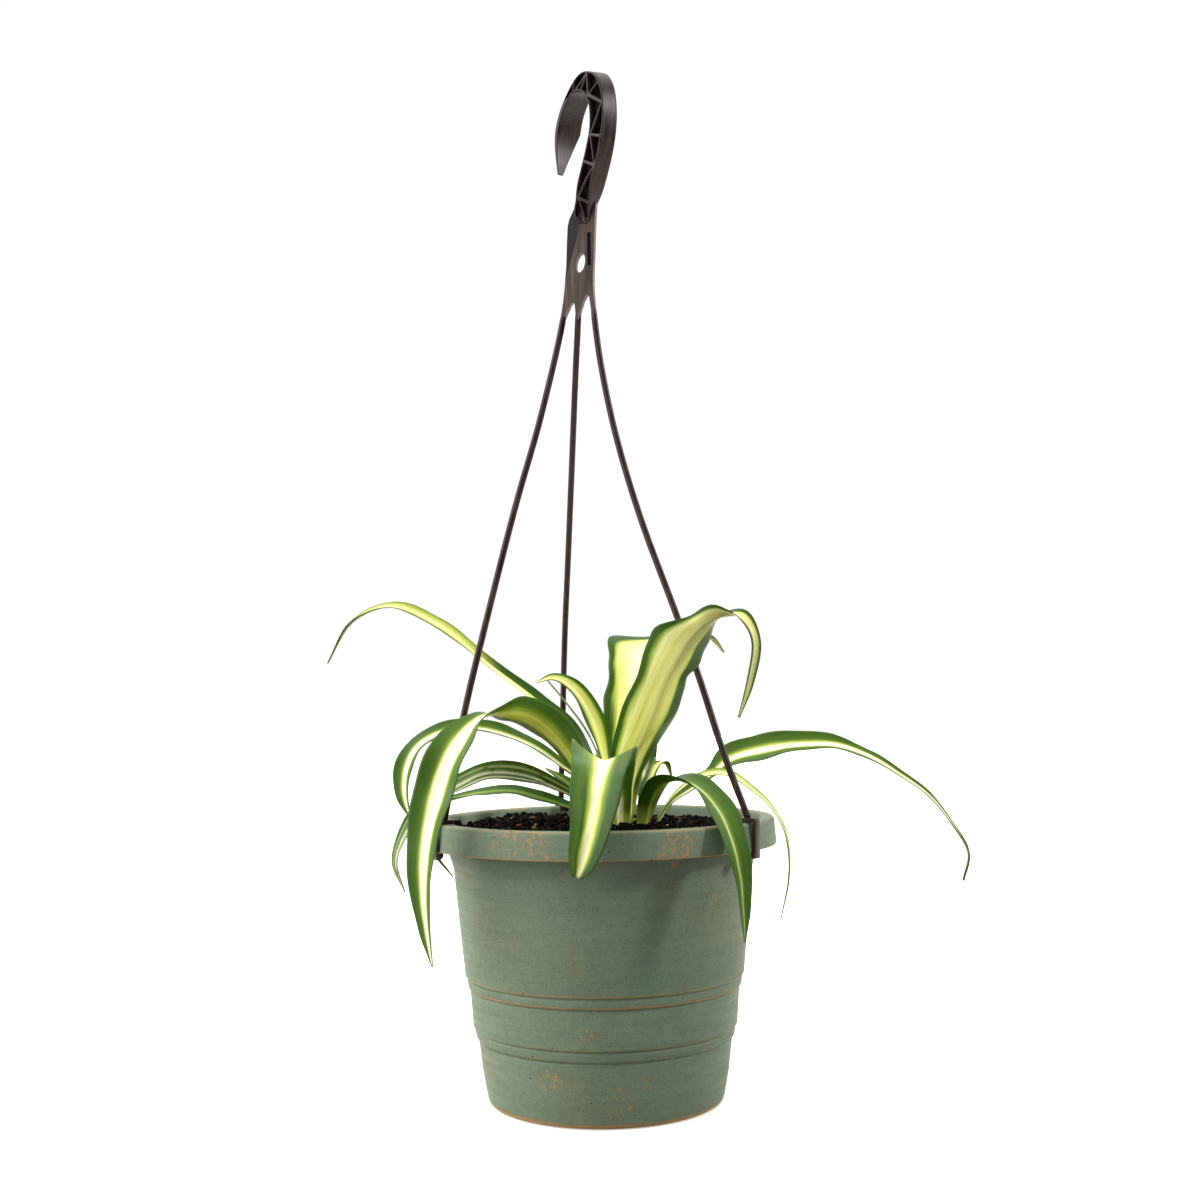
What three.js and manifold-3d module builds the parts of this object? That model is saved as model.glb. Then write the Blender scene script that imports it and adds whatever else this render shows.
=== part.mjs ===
// Potted spider plant in a plastic hanging pot, in millimetres, +Z up.
// The origin is the centre of the pot's base, on the surface it stands on; the front is -Y.
import * as THREE from 'three';
import { mergeVertices } from 'three/addons/utils/BufferGeometryUtils.js';
import Module from 'manifold-3d';

// ---- driving dimensions -------------------------------------------------------------------
const turnSegments = 40; // facets round the pot and the soil
const gap = 0.3; // clearance between touching pieces

const rimTop = 122.2; // height of the pot
const rimRadius = 76; // a six-inch pot
const skirtBottom = 110.6;
const floorTop = 3.4;
const drainHoles = { count: 4, ringRadius: 30, radius: 4.5 };

const crown = { x: 9, y: -2, radius: 16, bottom: 106, edge: 118.4, top: 122.4, sink: 4.5 };
const soilLevel = 117.2; // at the pot's wall
const soilMound = 3; // how much higher it stands at the plant
const soilLump = 1.1; // height of the lumps

const bladeThickness = 0.9;
const bladeFold = 24; // degrees that each half rises from the midrib
const stationStep = 6; // length of one facet along a leaf
const slotSpare = 0.5; // the slots in crown and soil are this much wider all round than a blade

const hangerX = -6.7; // the hanger leans a little to the left of the pot's axis
const strandRadius = 1.45;
const clipRadius = 74; // where a strand meets its clip
const clipWidth = 4;

// ---- colours ------------------------------------------------------------------------------
function finish(color, roughness) {
  return new THREE.MeshStandardMaterial({ color, roughness, metalness: 0 });
}

const potPlastic = finish(0x6f7b68, 0.7);
const pottingMix = finish(0x1d130c, 0.95);
const leafGreen = finish(0x6f8f45, 0.5);
const leafCream = finish(0xe6e6a0, 0.5);
const leafGrey = finish(0x8f9b6c, 0.55);
const crownGreen = finish(0xb9c489, 0.5);
const hangerPlastic = finish(0x4a3b35, 0.45);

// ---- solids -------------------------------------------------------------------------------
const wasm = await Module();
wasm.setup();

// A closed mesh as a solid: one vertex per place, and no triangle without an area.
function toSolid(geometry) {
  const bare = geometry.index ? geometry.toNonIndexed() : geometry.clone();
  for (const name of Object.keys(bare.attributes)) {
    if (name !== 'position') bare.deleteAttribute(name);
  }
  const merged = mergeVertices(bare, 1e-4);
  const corners = [];
  const index = merged.index.array;
  for (let i = 0; i < index.length; i += 3) {
    const [a, b, c] = [index[i], index[i + 1], index[i + 2]];
    if (a !== b && b !== c && c !== a) corners.push(a, b, c);
  }
  const mesh = new wasm.Mesh({
    numProp: 3,
    vertProperties: new Float32Array(merged.attributes.position.array),
    triVerts: new Uint32Array(corners),
  });
  return new wasm.Manifold(mesh);
}

function toGeometry(solid) {
  const mesh = solid.getMesh();
  const geometry = new THREE.BufferGeometry();
  geometry.setAttribute('position', new THREE.BufferAttribute(mesh.vertProperties, 3));
  geometry.setIndex(new THREE.BufferAttribute(mesh.triVerts, 1));
  return geometry;
}

function named(name, solid, material) {
  const mesh = new THREE.Mesh(toGeometry(solid), material);
  mesh.name = name;
  return mesh;
}

// A profile of [radius, height] turned about the vertical axis.
function turned(profile, segments) {
  const points = profile.map(([radius, height]) => new THREE.Vector2(radius, height));
  return new THREE.LatheGeometry(points, segments).rotateX(Math.PI / 2);
}

// An outline in the (across, height) plane, extruded to both sides of that plane.
function slab(outline, depth, holes = []) {
  const shape = new THREE.Shape(outline);
  shape.holes = holes.map((hole) => new THREE.Path(hole));
  const flat = new THREE.ExtrudeGeometry(shape, { depth, bevelEnabled: false });
  return flat.translate(0, 0, -depth / 2).rotateX(Math.PI / 2);
}

function moveVertices(geometry, move) {
  const place = geometry.attributes.position;
  const point = new THREE.Vector3();
  for (let i = 0; i < place.count; i += 1) {
    point.fromBufferAttribute(place, i);
    move(point);
    place.setXYZ(i, point.x, point.y, point.z);
  }
  return geometry;
}

function smooth(low, high, value) {
  return THREE.MathUtils.smoothstep(value, low, high);
}

// ---- pot ----------------------------------------------------------------------------------
// The outside from the underside up over the rim, with its two pairs of groove lines.
const outside = [
  [0, 0], [14, 0], [15, 1.5], [43, 1.5], [44.5, 0], [49, 0], [51.3, 0.8], [52, 2.8],
  [53.9, 13], [55.6, 26.4], [55.4, 27.4], [56.6, 28.2],
  [57.2, 31.2], [56.9, 32.1], [58, 33],
  [59.2, 48.2], [58.9, 49.2], [60.2, 50.1],
  [60.5, 52.8], [60.2, 53.8], [61.4, 54.8],
  [63.9, 78.9], [66.1, 101], [66.9, 103.8], [68.9, 110], [70.6, 120.2],
  [74.4, 120.2], [75.2, skirtBottom], [76.8, skirtBottom],
  [rimRadius, rimTop - 1], [rimRadius - 0.8, rimTop],
];
// The inside from the rim down to the floor.
const inside = [
  [70.9, rimTop], [69.8, rimTop - 1.2], [68.9, 117], [67.3, 110], [65.3, 104], [64.4, 100],
  [62.3, 79], [59.8, 55], [58.5, 51], [57.5, 47], [56.2, 33.6], [55.3, 29.5], [54, 26],
  [52.2, 13], [50.4, 5], [48.8, floorTop], [0, floorTop],
];

function potSolid() {
  let pot = toSolid(turned([...outside, ...inside], turnSegments));
  for (let i = 0; i < drainHoles.count; i += 1) {
    const angle = ((i + 0.5) / drainHoles.count) * 2 * Math.PI;
    const drill = new THREE.CylinderGeometry(drainHoles.radius, drainHoles.radius, 12, 16);
    drill.rotateX(Math.PI / 2);
    drill.translate(drainHoles.ringRadius * Math.cos(angle), drainHoles.ringRadius * Math.sin(angle), 2);
    pot = pot.subtract(toSolid(drill));
  }
  return pot;
}

// ---- soil ---------------------------------------------------------------------------------
// A low mound round the plant with lumps: three crossed waves of unlike lengths.
function soilTop(x, y) {
  const away = Math.hypot(x - crown.x, y - crown.y);
  const mound = soilMound * Math.exp(-((away / 34) ** 2));
  const back = 3.4 * Math.exp(-(((x + 34) / 17) ** 2) - ((y - 34) / 18) ** 2);
  const waves = Math.sin(x * 0.42 + 1.3) * Math.sin(y * 0.38)
    + 0.6 * Math.sin(x * 0.83 - y * 0.57 + 2) + 0.4 * Math.sin(x * 0.31 + y * 0.91);
  return soilLevel + mound + back + soilLump * 0.5 * waves;
}

function soilSolid() {
  const wall = inside.filter(([radius, height]) => radius > 0 && height < soilLevel);
  const fitted = wall.map(([radius, height]) => [radius - gap - 0.1, height]).reverse();
  fitted[0][1] = floorTop + gap;
  const wallTop = [68.4, soilLevel];
  const rings = [60, 50, 40, 31, 23, 16.3, 8, 0].map((radius) => [radius, soilLevel + 1]);
  const profile = [[0, floorTop + gap], ...fitted, wallTop, ...rings];
  const body = turned(profile, turnSegments);
  moveVertices(body, (point) => {
    if (point.z < soilLevel - 0.1) return;
    point.z = soilTop(point.x, point.y);
  });
  const well = new THREE.CylinderGeometry(crown.radius + gap, crown.radius + gap, 40, 32);
  well.rotateX(Math.PI / 2);
  well.translate(crown.x, crown.y, crown.bottom - gap + 20);
  let soil = toSolid(body).subtract(toSolid(well));
  for (const leaf of leaves) {
    if (leaf.ring > crown.radius / 2) soil = soil.subtract(toSolid(blade(leaf, slotSpare)));
  }
  return soil;
}

// ---- leaves -------------------------------------------------------------------------------
// Each leaf starts in the crown, at a distance and bearing from its middle, and follows a route.
// A route row is [x, y, z, blade width, lean]; lean turns the upper face towards the front.
// The heading is the bearing in which the leaf arches over, in degrees from +X.
const leaves = [
  {
    name: 'leaf_01_long_left', ring: 7.5, bearing: 142, heading: 166, base: 4.6, color: leafCream,
    route: [[-3, 6, 140, 8, 10], [-13, 9, 161, 8.5, 25], [-28.5, 13, 174.6, 8.5, 35],
      [-50.5, 18, 191.2, 6, 40], [-75, 22, 210.2, 8, 40], [-97, 26, 219.2, 6.5, 30],
      [-116, 29, 212.5, 5, 20], [-128, 31, 193, 1.2, 0]],
  },
  {
    name: 'leaf_02_front_left', ring: 13, bearing: 228, heading: 222, base: 6, color: leafGreen,
    route: [[-4.5, -14.5, 133, 12, 0], [-14, -18.5, 151.5, 18, -10],
      [-26, -24, 164.5, 21.5, -30], [-37.5, -33, 169.3, 20, -45], [-49, -42, 168.8, 11, 0],
      [-59.5, -50, 158, 21.5, 25], [-67, -56, 140, 22, 30], [-72, -60, 119, 18.5, 25],
      [-73, -61, 98, 12.5, 15], [-71.5, -61, 82, 7.5, 10], [-69, -61, 68, 1.2, 10]],
  },
  {
    name: 'leaf_03_left_hook', ring: 7.5, bearing: 192, heading: 188, base: 4.6, color: leafGreen,
    route: [[-5, -2.5, 134, 7.5, 15], [-17, -5, 145, 9.5, 25], [-31, -8, 155, 11, 25],
      [-50, -10, 162, 11.5, 25], [-66, -11, 162.5, 11.5, 30], [-80, -12, 156, 12, 35],
      [-86, -12, 146, 12, 48], [-87, -11, 134, 10, 45], [-84, -10, 123, 1.2, 40]],
  },
  {
    name: 'leaf_04_grey_left', ring: 13, bearing: 198, heading: 198, base: 5.6, color: leafGrey,
    route: [[-9, -6, 129, 9, 20], [-22, -8, 137, 10.5, 35], [-36, -12, 142.5, 11.5, 45],
      [-51, -16, 143, 11.5, 45], [-63, -19, 138, 11, 40], [-75, -23, 131, 10, 35],
      [-84, -27, 119, 8, 30], [-88, -30, 107, 6, 20], [-84, -31, 94, 1.2, 10]],
  },
  {
    name: 'leaf_05_low_left', ring: 13, bearing: 166, heading: 165, base: 5, color: leafGreen,
    route: [[-10, 4, 124, 6, 20], [-20, 8, 128, 7, 30], [-30, 10, 131, 7.5, 35],
      [-40, 12.5, 133.5, 7.5, 35], [-53, 16, 133, 7, 30], [-64, 19, 131, 6.5, 20],
      [-75, 22, 127, 6, 10], [-81, 25, 118, 5, 0], [-79, 25, 107, 4, 0], [-69, 22, 94, 1.2, 0]],
  },
  {
    name: 'leaf_06_short_left', ring: 13, bearing: 140, heading: 141, base: 4.5, color: leafGreen,
    route: [[-7, 10, 127, 6, 20], [-15, 14, 136, 7, 30], [-26, 20, 143, 1.2, 20]],
  },
  {
    name: 'leaf_07_middle', ring: 7.5, bearing: 238, heading: 200, base: 4.6, color: leafCream,
    route: [[3, -7, 136, 7, 30], [1, -7, 150, 9.5, 50], [-4, -9, 167.5, 10.5, 60],
      [-12, -12, 179.5, 9.5, 50], [-20.5, -14, 184, 6, 40], [-28, -15, 182, 1.2, 20]],
  },
  {
    name: 'leaf_08_thread', ring: 1.5, bearing: 170, heading: 150, base: 1.8, color: leafGreen,
    route: [[1, -1, 142, 1.8, 0], [-6, 2, 159, 1.8, 0], [-15, 6, 172, 1.6, 0],
      [-24, 9, 183, 1.2, 0]],
  },
  {
    name: 'leaf_09_upright_back', ring: 7.5, bearing: 70, heading: 65, base: 5, color: leafCream,
    route: [[9, 8, 136, 11, 0], [9, 12, 156, 17, 0], [11.5, 17, 178, 20.5, 0],
      [14, 24, 193.5, 23, 0], [18, 34, 199, 21.5, 0], [31, 45, 202.5, 14, 0],
      [43, 52, 204.5, 8, 0], [53.7, 57, 203.5, 4, 0], [60.6, 61, 196.3, 1.2, 0]],
  },
  {
    name: 'leaf_10_tall_right', ring: 7.5, bearing: 290, heading: 300, base: 5, color: leafCream,
    route: [[11, -13, 133, 11, -10], [13, -21, 148, 19.5, -20], [19.8, -31, 164, 26.5, -28],
      [26.4, -40, 181, 27, -30], [31.5, -44.5, 191.5, 28, -28], [37.5, -47, 200.5, 22.5, -22],
      [45, -48.5, 207, 16, -8], [52, -49, 209.3, 12, 0], [59.5, -50, 208, 8, 0],
      [64.3, -51, 198, 5.5, 0], [61.8, -50, 181, 4.5, 0], [57, -49, 166, 1.2, 0]],
  },
  {
    name: 'leaf_11_front', ring: 13, bearing: 265, heading: 265, base: 6, color: leafGreen,
    route: [[7.2, -19, 131, 12, 0], [4, -29, 144, 22, 0], [1.5, -45, 151.5, 29.5, 0],
      [0, -62, 148.5, 27.5, 0], [-2, -75, 139, 22.5, 0], [-4.5, -84, 125, 18, 0],
      [-8, -88, 112, 13, 0], [-10, -88, 106, 5, 0]],
  },
  {
    name: 'leaf_12_front_right', ring: 13, bearing: 310, heading: 308, base: 6, color: leafGreen,
    route: [[20.5, -16, 129, 12, -5], [25, -25, 138, 15, -5], [32, -36, 141, 12.5, 0],
      [41, -48, 137.5, 15, 0], [48, -56, 129, 17, 5], [53, -63, 116, 13, 10],
      [55.5, -65, 102, 9, 10], [56, -66, 90, 6.5, 5], [56, -66, 77, 1.2, 0]],
  },
  {
    name: 'leaf_13_long_right', ring: 13, bearing: 16, heading: 357, base: 5.6, color: leafGreen,
    route: [[31, 2, 128, 6, 20], [40, 1, 134, 5.5, 35], [49, 0, 140.8, 7, 40],
      [58, 0, 148, 16, 45], [72, -1, 151.5, 17, 45], [88, -2, 153.6, 13, 45],
      [104, -3, 153, 10, 40], [118, -4, 148, 8, 35], [131, -5, 140, 6, 35],
      [144, -7, 130, 4.5, 30], [154, -8, 117, 4, 20], [160, -10, 105, 5, 10],
      [157, -11, 93, 2.2, 0]],
  },
  {
    name: 'leaf_14_narrow_right', ring: 13, bearing: 344, heading: 345, base: 4.5, color: leafCream,
    route: [[32, -9, 132, 5, 20], [43, -12, 140, 5.5, 30], [55, -14, 141, 5, 35],
      [65, -17, 134.5, 4.2, 30], [73, -19, 127, 3.5, 20], [78, -20, 118, 3, 15],
      [80, -21, 107, 2.5, 5], [79.5, -21, 95, 2, 0], [76, -20, 79, 1.2, 0]],
  },
  {
    name: 'leaf_15_young_front', ring: 7.5, bearing: 338, heading: 340, base: 4.6, color: leafGreen,
    route: [[17.5, -2, 133, 7, 20], [21, 1, 142, 6.5, 20], [24, 4, 148, 2, 0]],
  },
  {
    name: 'leaf_16_young_back', ring: 7.5, bearing: 25, heading: 40, base: 4.6, color: leafGreen,
    route: [[20, 7, 133, 6, 0], [25, 12, 144, 7, 0], [29, 16, 145, 5, 0], [32, 19, 138, 1.2, 0]],
  },
  {
    name: 'leaf_17_back', ring: 13, bearing: 82, heading: 82, base: 5.6, color: leafGreen,
    route: [[14, 21, 143, 10, 0], [18, 38, 166, 13, 0], [22, 62, 172, 13, 0],
      [23, 84, 156, 12, 0], [22, 97, 130, 9, 0], [20, 102, 100, 1.2, 0]],
  },
  {
    name: 'leaf_18_back_low', ring: 13, bearing: 114, heading: 102, base: 5.6, color: leafGreen,
    route: [[1, 20, 134, 10, 0], [-3, 38, 147, 12, 0], [-7, 60, 146, 12, 0],
      [-10, 80, 130, 10, 0], [-12, 92, 106, 1.2, 0]],
  },
];

function crownTop(away) {
  return crown.top - (crown.top - crown.edge) * (away / crown.radius) ** 2;
}

// Evenly spaced stations along a leaf: place, width and lean, by a smooth curve through the route.
function stations(leaf) {
  const bearing = THREE.MathUtils.degToRad(leaf.bearing);
  const root = [
    crown.x + leaf.ring * Math.cos(bearing), crown.y + leaf.ring * Math.sin(bearing),
    crownTop(leaf.ring) - crown.sink, leaf.base, 0,
  ];
  const rows = [root, ...leaf.route];
  const curve = new THREE.CatmullRomCurve3(rows.map(([x, y, z]) => new THREE.Vector3(x, y, z)));
  const count = Math.max(5, Math.round(curve.getLength() / stationStep));
  const list = [];
  for (let i = 0; i <= count; i += 1) {
    const t = curve.getUtoTmapping(i / count);
    const along = t * (rows.length - 1);
    const row = Math.min(Math.floor(along), rows.length - 2);
    const mix = along - row;
    const ease = THREE.MathUtils.lerp(mix, mix * mix * (3 - 2 * mix), 0.5);
    list.push({
      place: curve.getPoint(t),
      ahead: curve.getTangent(t),
      width: THREE.MathUtils.lerp(rows[row][3], rows[row + 1][3], ease),
      lean: THREE.MathUtils.lerp(rows[row][4], rows[row + 1][4], ease),
      share: i / count,
    });
  }
  return list;
}

// A strap blade: a folded strip with one thickness, whose edges wave a little.
// Both faces are split the same way, so that they stay parallel.
function blade(leaf, spare = 0) {
  const heading = THREE.MathUtils.degToRad(leaf.heading);
  const right = new THREE.Vector3(Math.sin(heading), -Math.cos(heading), 0);
  const front = new THREE.Vector3(0, -1, 0);
  const fold = THREE.MathUtils.degToRad(bladeFold);
  const half = bladeThickness / 2 + spare;
  const places = [];
  const list = stations(leaf);
  for (const { place, ahead, width, lean, share } of list) {
    if (share === 0) place.addScaledVector(ahead, -spare);
    const face = right.clone().cross(ahead).normalize();
    const toFront = front.clone().addScaledVector(ahead, -front.dot(ahead)).normalize();
    const angle = THREE.MathUtils.degToRad(lean);
    face.multiplyScalar(Math.cos(angle)).addScaledVector(toFront, Math.sin(angle)).normalize();
    const side = ahead.clone().cross(face).normalize();
    const reach = (width / 2) * Math.cos(fold) + spare;
    const rise = (width / 2) * Math.sin(fold);
    const wave = 0.05 * width * Math.sin(Math.PI * share);
    for (const above of [half, -half]) {
      for (const edge of [-1, 0, 1]) {
        const ripple = edge * wave * Math.sin(share * 17 + edge * 1.1 + leaf.bearing);
        const lift = (Math.abs(edge) - 0.5) * rise + ripple + above;
        places.push(place.clone().addScaledVector(side, edge * reach).addScaledVector(face, lift));
      }
    }
  }
  const corners = [];
  const quad = (a, b, c, d) => corners.push(a, b, c, a, c, d);
  const ringSize = 6;
  for (let i = 0; i + 1 < list.length; i += 1) {
    const near = i * ringSize;
    const far = near + ringSize;
    for (let j = 0; j < 2; j += 1) {
      quad(near + j, near + j + 1, far + j + 1, far + j);
      quad(near + 3 + j, far + 3 + j, far + 4 + j, near + 4 + j);
      if (j === 0) quad(near, far, far + 3, near + 3);
      if (j === 1) quad(near + 2, near + 5, far + 5, far + 2);
    }
  }
  const last = (list.length - 1) * ringSize;
  for (let j = 0; j < 2; j += 1) {
    quad(j, 3 + j, 4 + j, 1 + j);
    quad(last + j, last + 1 + j, last + 4 + j, last + 3 + j);
  }
  const geometry = new THREE.BufferGeometry().setFromPoints(places);
  geometry.setIndex(corners);
  return geometry;
}

// The crown is a low dome of sheathing leaf bases, and each leaf stands in a plain slot in it.
function crownSolid() {
  const dome = [16, 13, 9.5, 6, 0].map((radius) => [radius, crownTop(radius)]);
  const profile = [[0, crown.bottom], [13, crown.bottom], [crown.radius, crown.bottom + 4], ...dome];
  let solid = toSolid(turned(profile, 32).translate(crown.x, crown.y, 0));
  for (const leaf of leaves) solid = solid.subtract(toSolid(blade(leaf, slotSpare)));
  return solid;
}

// ---- hanger -------------------------------------------------------------------------------
// The hook's outline in its own plane: [across, height], outer edge from the tip over the top.
const hookOuter = [
  [-9.2, 415.8], [-10.4, 423.7], [-11, 431.3], [-10.2, 438], [-5.9, 447.4], [1.9, 456.4],
  [4.9, 458.3], [8, 459], [13.7, 457.2], [17, 454], [19.5, 448.8], [20.9, 440.5], [20.5, 431.5],
  [17.9, 420.5], [13.2, 408.8], [9.9, 403], [7.3, 398.6], [5.4, 392.5], [4.4, 386],
];
const hookInner = [
  [-3.8, 386], [-3.3, 391.5], [-1.7, 396.1], [0.8, 401.8], [5, 412.1], [9.8, 424.7], [11.6, 431],
  [12, 438], [11.3, 443.5], [9.6, 447.2], [7.4, 449.8], [4.6, 451.2], [1.8, 451.2],
  [-0.8, 450.2], [-3.8, 446.7], [-6.6, 442], [-8.3, 436.6], [-9.1, 430.8], [-9, 423.3],
  [-8.1, 415.8],
];
// Where the ribs of the hook's sides meet, a to h along the outer edge and p to x along the
// inner one, and the pockets between them.
const hookJoints = {
  a: [-4.5, 448.3], b: [2.2, 456.3], c: [10.8, 457.8], d: [17.6, 451.3], e: [20, 441.3],
  f: [19.4, 426.1], g: [14.7, 413.8], h: [7, 399.1], i: [3.8, 389.5],
  p: [1.5, 450.8], q: [3.2, 451.7], r: [6.8, 451.2], s: [11.2, 447.3], t: [12.3, 428.5],
  u: [8.1, 417.4], v: [2.3, 402.2], x: [-2.2, 393],
};
const hookPockets = [
  'abp', 'bcq', 'crs', 'cds', 'des', 'set', 'eft', 'tfg', 'tgu', 'ugv', 'vgh', 'vhi', 'vix',
];
const hookDepth = 9.2;
const hookTurn = 45; // degrees between the hook's plane and the front
const hookTilt = 0.22; // how much higher the crown of the hook is for each millimetre of depth
const plateTurn = 15;
const plateDepth = 3.2;
const pocketWeb = 1.8;
const pocketInset = 0.6;

// From the hanger's own plane, with y as depth, to its place on the part: the lower end turns
// and thins towards the plate, and the tip leg is a wide blade that tapers to the tip.
function placeHook(point) {
  const [across, height] = [point.x, point.z];
  const slim = THREE.MathUtils.lerp(2.8 / hookDepth, 1, smooth(388, 408, height));
  const legWidth = THREE.MathUtils.clamp(2.8 + (height - 415.8) * 0.57, 2.8, 14.6);
  const onLeg = 1 - smooth(-4, 6, across);
  const plain = point.y * slim;
  const flared = ((point.y + hookDepth / 2) / hookDepth) * legWidth - hookDepth / 2;
  const depth = height > 412 ? THREE.MathUtils.lerp(plain, flared, onLeg) : plain;
  const turn = THREE.MathUtils.degToRad(plateTurn + (hookTurn - plateTurn) * smooth(388, 410, height));
  point.x = hangerX + across * Math.cos(turn) + depth * Math.sin(turn);
  point.y = -across * Math.sin(turn) + depth * Math.cos(turn);
  point.z = height + (depth + hookDepth / 2) * hookTilt * smooth(425, 450, height);
}

function insetTriangle(corners, inset) {
  const [a, b, c] = corners.map(([x, y]) => new THREE.Vector2(x, y));
  const sides = [b.distanceTo(c), c.distanceTo(a), a.distanceTo(b)];
  const round = sides[0] + sides[1] + sides[2];
  const middle = new THREE.Vector2()
    .addScaledVector(a, sides[0] / round).addScaledVector(b, sides[1] / round)
    .addScaledVector(c, sides[2] / round);
  const twiceArea = Math.abs((b.x - a.x) * (c.y - a.y) - (b.y - a.y) * (c.x - a.x));
  const inradius = twiceArea / round;
  if (inradius < inset + 0.25) return null;
  return [a, b, c].map((corner) => corner.lerp(middle, inset / inradius));
}

function hookSolid() {
  const through = (points) => new THREE.SplineCurve(points.map(([x, y]) => new THREE.Vector2(x, y)));
  const outline = [...through(hookOuter).getPoints(36), ...through(hookInner).getPoints(38)];
  let hook = toSolid(slab(outline, hookDepth));
  const pocketDepth = 8;
  for (const joints of hookPockets) {
    const pocket = insetTriangle([...joints].map((key) => hookJoints[key]), pocketInset);
    if (!pocket) continue;
    for (const side of [-1, 1]) {
      const cutter = slab(pocket, pocketDepth);
      cutter.translate(0, side * (pocketDepth / 2 + pocketWeb / 2), 0);
      hook = hook.subtract(toSolid(cutter));
    }
  }
  return toSolid(moveVertices(toGeometry(hook), placeHook));
}

// The plate: its lower edge has an arched gap on each side of the middle strand, and its right
// edge runs up behind the hook to a point.
const plateOutline = [
  [-5.5, 392.3], [-5.9, 384], [-6.1, 372], [-6.7, 364], [-7.8, 354.3], [-8.5, 350], [-6.2, 350],
  [-4.9, 352.8], [-3.5, 355], [-2.7, 355.2], [-2.1, 353], [-2, 350], [0.8, 350], [1.2, 353],
  [2.3, 356.3], [3.8, 358.2], [4.8, 355.8], [5.1, 350], [7.1, 350], [6.5, 362], [6.6, 367],
  [7.2, 378], [7.6, 388], [8, 395], [8.7, 403.8], [8.3, 404], [6.9, 398], [5.6, 394], [4.4, 392.6],
  [-1, 393.4],
];
const plateSlot = { across: 0.8, height: 372.8, halfWidth: 2.1, halfHeight: 4.5, lean: 10 };
const platePill = { across: 5.1, low: 372, high: 385.8, halfWidth: 0.8, depth: 0.8 };
// The plate's upper left falls away from its front as a slanted facet: [across, depth, height].
const plateFacet = [
  [-6.5, -1.6, 365], [2.6, -1.6, 396], [-5.5, 1.3, 396], [-9, -1.6, 365], [-9, -5, 365],
  [-9, 1.3, 396], [-9, -5, 396], [2.6, -5, 396],
];

function plateSolid() {
  const slot = new THREE.Path();
  const lean = THREE.MathUtils.degToRad(plateSlot.lean);
  slot.absellipse(plateSlot.across, plateSlot.height, plateSlot.halfWidth, plateSlot.halfHeight,
    0, 2 * Math.PI, false, -lean);
  const outline = plateOutline.map(([x, y]) => new THREE.Vector2(x, y));
  let plate = toSolid(slab(outline, plateDepth, [slot.getPoints(6)]));
  const pill = new THREE.Shape();
  pill.absarc(platePill.across, platePill.low, platePill.halfWidth, Math.PI, 2 * Math.PI);
  pill.absarc(platePill.across, platePill.high, platePill.halfWidth, 0, Math.PI);
  const recess = slab(pill.getPoints(5), 2);
  recess.translate(0, -plateDepth / 2 - 1 + platePill.depth, 0);
  plate = plate.subtract(toSolid(recess)).subtract(wasm.Manifold.hull(plateFacet));
  const turn = THREE.MathUtils.degToRad(plateTurn);
  return toSolid(toGeometry(plate).rotateZ(-turn).translate(hangerX, 0, 0));
}

// The three strands, each a route from the plate to its clip, and the bearing of its clip.
const strands = [
  {
    bearing: 205,
    route: [[-13.7, 1.9, 357], [-14.6, 1.2, 348], [-25.4, -6.7, 300], [-36.5, -13.3, 260],
      [-49.8, -21.1, 207], [-58.5, -26.5, 170], [-64.5, -29.9, 138]],
  },
  {
    bearing: 106,
    route: [[-7.5, 0.2, 357], [-7.8, 1.5, 348], [-9.4, 9.5, 325], [-11.9, 24, 285],
      [-14.7, 39.8, 241], [-16.9, 51.5, 207], [-19, 64, 160], [-19.9, 69, 138]],
  },
  {
    bearing: 325,
    route: [[-1, -1.5, 357], [-0.4, -1.8, 348], [2.2, -3, 326], [8.1, -6.9, 294],
      [18.1, -13.8, 256], [33.4, -24, 210], [42.5, -30.3, 182], [51.5, -36.3, 151]],
  },
];

function clipPoint(bearing, radius, height) {
  const angle = THREE.MathUtils.degToRad(bearing);
  return new THREE.Vector3(radius * Math.cos(angle), radius * Math.sin(angle), height);
}

function strandSolid(strand) {
  const places = strand.route.map(([x, y, z]) => new THREE.Vector3(x, y, z));
  places.push(clipPoint(strand.bearing, clipRadius, rimTop + 2));
  const curve = new THREE.CatmullRomCurve3(places);
  const section = new THREE.Shape();
  section.absarc(0, 0, strandRadius, 0, 2 * Math.PI);
  const round = new THREE.Shape(section.getPoints(4).slice(0, 8));
  const extrude = { steps: 15, extrudePath: curve, bevelEnabled: false };
  return toSolid(new THREE.ExtrudeGeometry(round, extrude));
}

// A clip in its [radius, height] plane: over the rim, down outside it, with a toe under the skirt.
function clipSolid(bearing) {
  const inner = 66.8;
  const outer = rimRadius + 2.4;
  const outline = [
    [inner, 119.8], [68.4, 119.8], [68.9, rimTop + gap], [77.1, rimTop + gap], [77.1, skirtBottom - gap],
    [75, skirtBottom - gap], [75, skirtBottom - 1.8], [76.6, skirtBottom - 3], [outer, skirtBottom - 3],
    [outer + 0.2, rimTop + 1.2], [outer - 1, rimTop + 2.2], [inner + 1, rimTop + 2], [inner, rimTop + 1],
  ].map(([x, y]) => new THREE.Vector2(x, y));
  return toSolid(slab(outline, clipWidth).rotateZ(THREE.MathUtils.degToRad(bearing)));
}

function hangerSolid() {
  let hanger = hookSolid().add(plateSolid());
  for (const strand of strands) {
    hanger = hanger.add(strandSolid(strand)).add(clipSolid(strand.bearing));
  }
  return hanger;
}

// ---- the whole part -----------------------------------------------------------------------
const plant = new THREE.Group();
plant.add(named('crown', crownSolid(), crownGreen));
for (const leaf of leaves) plant.add(named(leaf.name, toSolid(blade(leaf)), leaf.color));

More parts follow.
